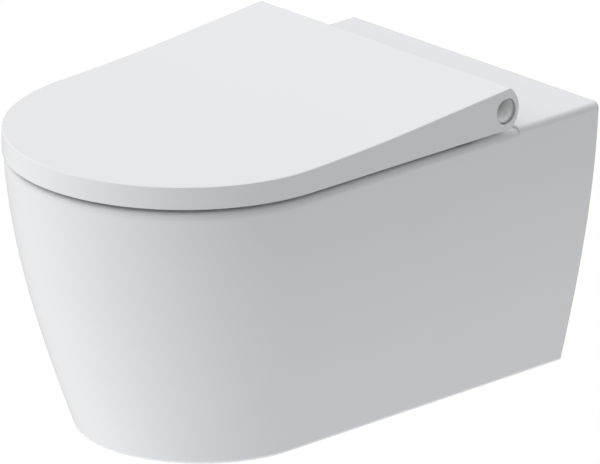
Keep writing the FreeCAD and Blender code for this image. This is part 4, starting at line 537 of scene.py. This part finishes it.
PALE_RUBBER = (0.5, 0.51, 0.52)
PALE_RUBBER_WORN = (0.42, 0.43, 0.44)
pale_rubber, pale_rubber_shader = new_finish("pale_rubber", PALE_RUBBER, roughness=0.6)
PALE_TONES = (PALE_RUBBER, PALE_RUBBER_WORN)
mottle(pale_rubber, pale_rubber_shader, PALE_TONES, roughness=(0.52, 0.7), size=5 * MM, detail=4)
grain(pale_rubber, pale_rubber_shader, size=0.8 * MM, height=0.02 * MM, detail=3)
SEAT_LOW = 86 * MM
BUFFER_SIDE = Vector((154, -268, 0)) * MM
BUFFER_FRONT = Vector((108.894, -502.894, 0)) * MM
seat_buffer = turned("seat_buffer_right_rear", [
    (-5.1, 0), (-5.2, 2), (-5.7, 3.2), (-5.8, 4), (-5.8, 6), (-5.5, 7.2), (-4.8, 7.85), (-3.8, 8),
    (-2.6, 8), (-2.3, 7.5), (-1.8, 7.2), (-1.3, 7.5), (-1, 8), (-0.3, 8), (0, 7.6), (0, 4), (2, 3.9),
    (2.8, 3.4), (3.4, 4), (5.2, 3.6), (6, 2.8), (6, 0),
], BUFFER_SIDE + Vector((0, 0, SEAT_LOW)), UPRIGHT)
for name, place in (
    ("seat_buffer_left_rear", Vector((-BUFFER_SIDE.x, BUFFER_SIDE.y, 0))),
    ("seat_buffer_right_front", BUFFER_FRONT),
    ("seat_buffer_left_front", Vector((-BUFFER_FRONT.x, BUFFER_FRONT.y, 0))),
):
    fit(copied(seat_buffer, name, place - BUFFER_SIDE), pale_rubber, "seat", "seat_buffers")
fit(seat_buffer, pale_rubber, "seat", "seat_buffers")

# Soft closing dampers and hinge bushes
# Acetal mouldings in the ears of the lid and the lugs of the seat. The housings are filled with grease
# and turn round a vaned rotor on the shaft. The other side of each has a plain bush.

DARK_ACETAL = (0.035, 0.035, 0.037)
DARK_ACETAL_PALE = (0.05, 0.05, 0.053)
dark_acetal, dark_acetal_shader = new_finish("dark_acetal", DARK_ACETAL, roughness=0.42)
DARK_TONES = (DARK_ACETAL, DARK_ACETAL_PALE)
mottle(dark_acetal, dark_acetal_shader, DARK_TONES, roughness=(0.36, 0.5), size=4 * MM, detail=4)
grain(dark_acetal, dark_acetal_shader, size=0.9 * MM, height=0.012 * MM, detail=3)
for node in ("lid_damper_housing", "lid_damper_cover", "lid_hinge_bush",
             "seat_damper_housing", "seat_damper_cover", "seat_hinge_bush"):
    dress(node, dark_acetal)
RAW_ACETAL = (0.56, 0.55, 0.5)
RAW_ACETAL_DEEP = (0.5, 0.49, 0.44)
raw_acetal, raw_acetal_shader = new_finish("natural_acetal", RAW_ACETAL, roughness=0.4)
RAW_TONES = (RAW_ACETAL, RAW_ACETAL_DEEP)
mottle(raw_acetal, raw_acetal_shader, RAW_TONES, roughness=(0.34, 0.46), size=4 * MM, detail=4)
grain(raw_acetal, raw_acetal_shader, size=0.9 * MM, height=0.012 * MM, detail=3)
for node in ("lid_damper_rotor", "seat_damper_rotor"):
    dress(node, raw_acetal)

# Lid
# A thin white thermoset pressing with a turned down skirt, flat at the front and rising to the hinge,
# where two round ears hold the damper and the bush.

dress("lid", thermoset)

# Lid buffers
# Two thin pale rubber studs under the front of the lid, moulded with a short stem
# that is pushed into a blind hole. They meet the seat when the lid comes down.

LID_BUFFER = Vector((89.99, -501.246, 103.7)) * MM
lid_buffer = turned("lid_buffer_right", [
    (-1.7, 0), (-1.75, 3), (-2, 4.4), (-2, 7.2), (-1.75, 7.8), (-1.2, 8), (-0.4, 8), (0, 7.6), (0, 2.5),
    (1.4, 2.4), (2.2, 2.2), (2.5, 1.7), (2.5, 0),
], LID_BUFFER, UPRIGHT)
for piece in (lid_buffer, copied(lid_buffer, "lid_buffer_left", (-2 * LID_BUFFER.x, 0, 0))):
    fit(piece, pale_rubber, "lid", "lid_buffers")

# Hinge end caps
# Domed stainless steel buttons that snap into the open ends of the ears and hide the hinge,
# blasted to a satin sheen. A narrow dark gap is left all round them.

CAP_STEEL = (0.6, 0.605, 0.61)
CAP_STEEL_DARK = (0.56, 0.565, 0.57)
cap_steel, cap_shader = new_finish("satin_steel_cap", CAP_STEEL, roughness=0.4, metallic=1)
mottle(cap_steel, cap_shader, (CAP_STEEL, CAP_STEEL_DARK), roughness=(0.36, 0.44), size=5 * MM)
grain(cap_steel, cap_shader, size=1.5 * MM, height=0.006 * MM)
for side in ("left", "right"):
    dress(f"hinge_end_cap_{side}", cap_steel)

# Floor and light
# A plain white floor, and one soft light all round: bright above, below and on the left, dimmer
# to the right. The pan hangs clear of the floor, so the floor itself throws no light or shadow.

FLOOR_HEIGHT = -0.32
FLOOR_WIDTH = 80
bpy.ops.object.select_all(action="DESELECT")
bpy.ops.mesh.primitive_plane_add(size=FLOOR_WIDTH, location=(0, 0, FLOOR_HEIGHT))
floor = bpy.context.object
floor.name = "floor"
white_floor, floor_shader = new_finish("white_floor", (0, 0, 0), roughness=1)
floor_shader.inputs["Emission Color"].default_value = (1, 1, 1, 1)
floor_shader.inputs["Emission Strength"].default_value = 1
floor_shader.inputs["Specular IOR Level"].default_value = 0
floor.data.materials.append(white_floor)
floor.visible_diffuse = False
floor.visible_glossy = False
floor.visible_shadow = False

scene = bpy.context.scene
scene.view_settings.view_transform = "Standard"
LIGHT_MEAN = 0.572
LIGHT_TO_ONE_SIDE = (-0.333, -0.135, -0.06)
LIGHT_AT_BOTH_ENDS = (-0.13, 0.13, 0.856)
LIGHT_IN_CORNERS = (0.355, -0.024, -0.428)
scene.world = bpy.data.worlds.new("studio")
scene.world.use_nodes = True
studio = scene.world.node_tree
studio_light = studio.nodes["Background"]
studio_light.inputs["Color"].default_value = (1, 1, 1, 1)
towards = studio.nodes.new("ShaderNodeTexCoord").outputs["Generated"]


def vector_step(how, first, second):
    """One sum on directions: a product by axis, or a weighted total of the axes."""
    node = studio.nodes.new("ShaderNodeVectorMath")
    node.operation = how
    studio.links.new(first, node.inputs[0])
    if isinstance(second, tuple):
        node.inputs[1].default_value = second
    else:
        studio.links.new(second, node.inputs[1])
    return node.outputs["Value" if how == "DOT_PRODUCT" else "Vector"]


axes = studio.nodes.new("ShaderNodeSeparateXYZ")
next_axes = studio.nodes.new("ShaderNodeCombineXYZ")
studio.links.new(towards, axes.inputs["Vector"])
for axis, following in ("XY", "YZ", "ZX"):
    studio.links.new(axes.outputs[following], next_axes.inputs[axis])
ends = vector_step("MULTIPLY", towards, towards)
corners = vector_step("MULTIPLY", towards, next_axes.outputs["Vector"])
brightness = None
for pattern, weights in (
    (towards, LIGHT_TO_ONE_SIDE),
    (ends, LIGHT_AT_BOTH_ENDS),
    (corners, LIGHT_IN_CORNERS),
):
    total = studio.nodes.new("ShaderNodeMath")
    total.operation = "ADD"
    total.inputs[1].default_value = LIGHT_MEAN
    studio.links.new(vector_step("DOT_PRODUCT", pattern, weights), total.inputs[0])
    if brightness:
        studio.links.new(brightness, total.inputs[1])
    brightness = total.outputs["Value"]
studio.links.new(brightness, studio_light.inputs["Strength"])

# Camera
# A long lens far away, from the front right and a little above, as in a catalogue picture,
# so that parallel edges stay nearly parallel.

CAMERA_AZIMUTH = math.radians(46.792)
CAMERA_ELEVATION = math.radians(20.166)
CAMERA_DISTANCE = 12.58
CAMERA_AIM = Vector((0, -0.2627, -0.0368))
CAMERA_ASIDE = 0.0170
LENS = 758
SENSOR = 36
CLIP_END = 100
back = Vector((
    math.sin(CAMERA_AZIMUTH) * math.cos(CAMERA_ELEVATION),
    -math.cos(CAMERA_AZIMUTH) * math.cos(CAMERA_ELEVATION),
    math.sin(CAMERA_ELEVATION),
))
aside = Vector((math.cos(CAMERA_AZIMUTH), math.sin(CAMERA_AZIMUTH), 0))
camera = bpy.data.objects.new("camera", bpy.data.cameras.new("camera"))
scene.collection.objects.link(camera)
camera.data.lens = LENS
camera.data.sensor_width = SENSOR
camera.data.clip_end = CLIP_END
camera.location = CAMERA_AIM + aside * CAMERA_ASIDE + back * CAMERA_DISTANCE
camera.rotation_euler = (-back).to_track_quat("-Z", "Y").to_euler()
scene.camera = camera
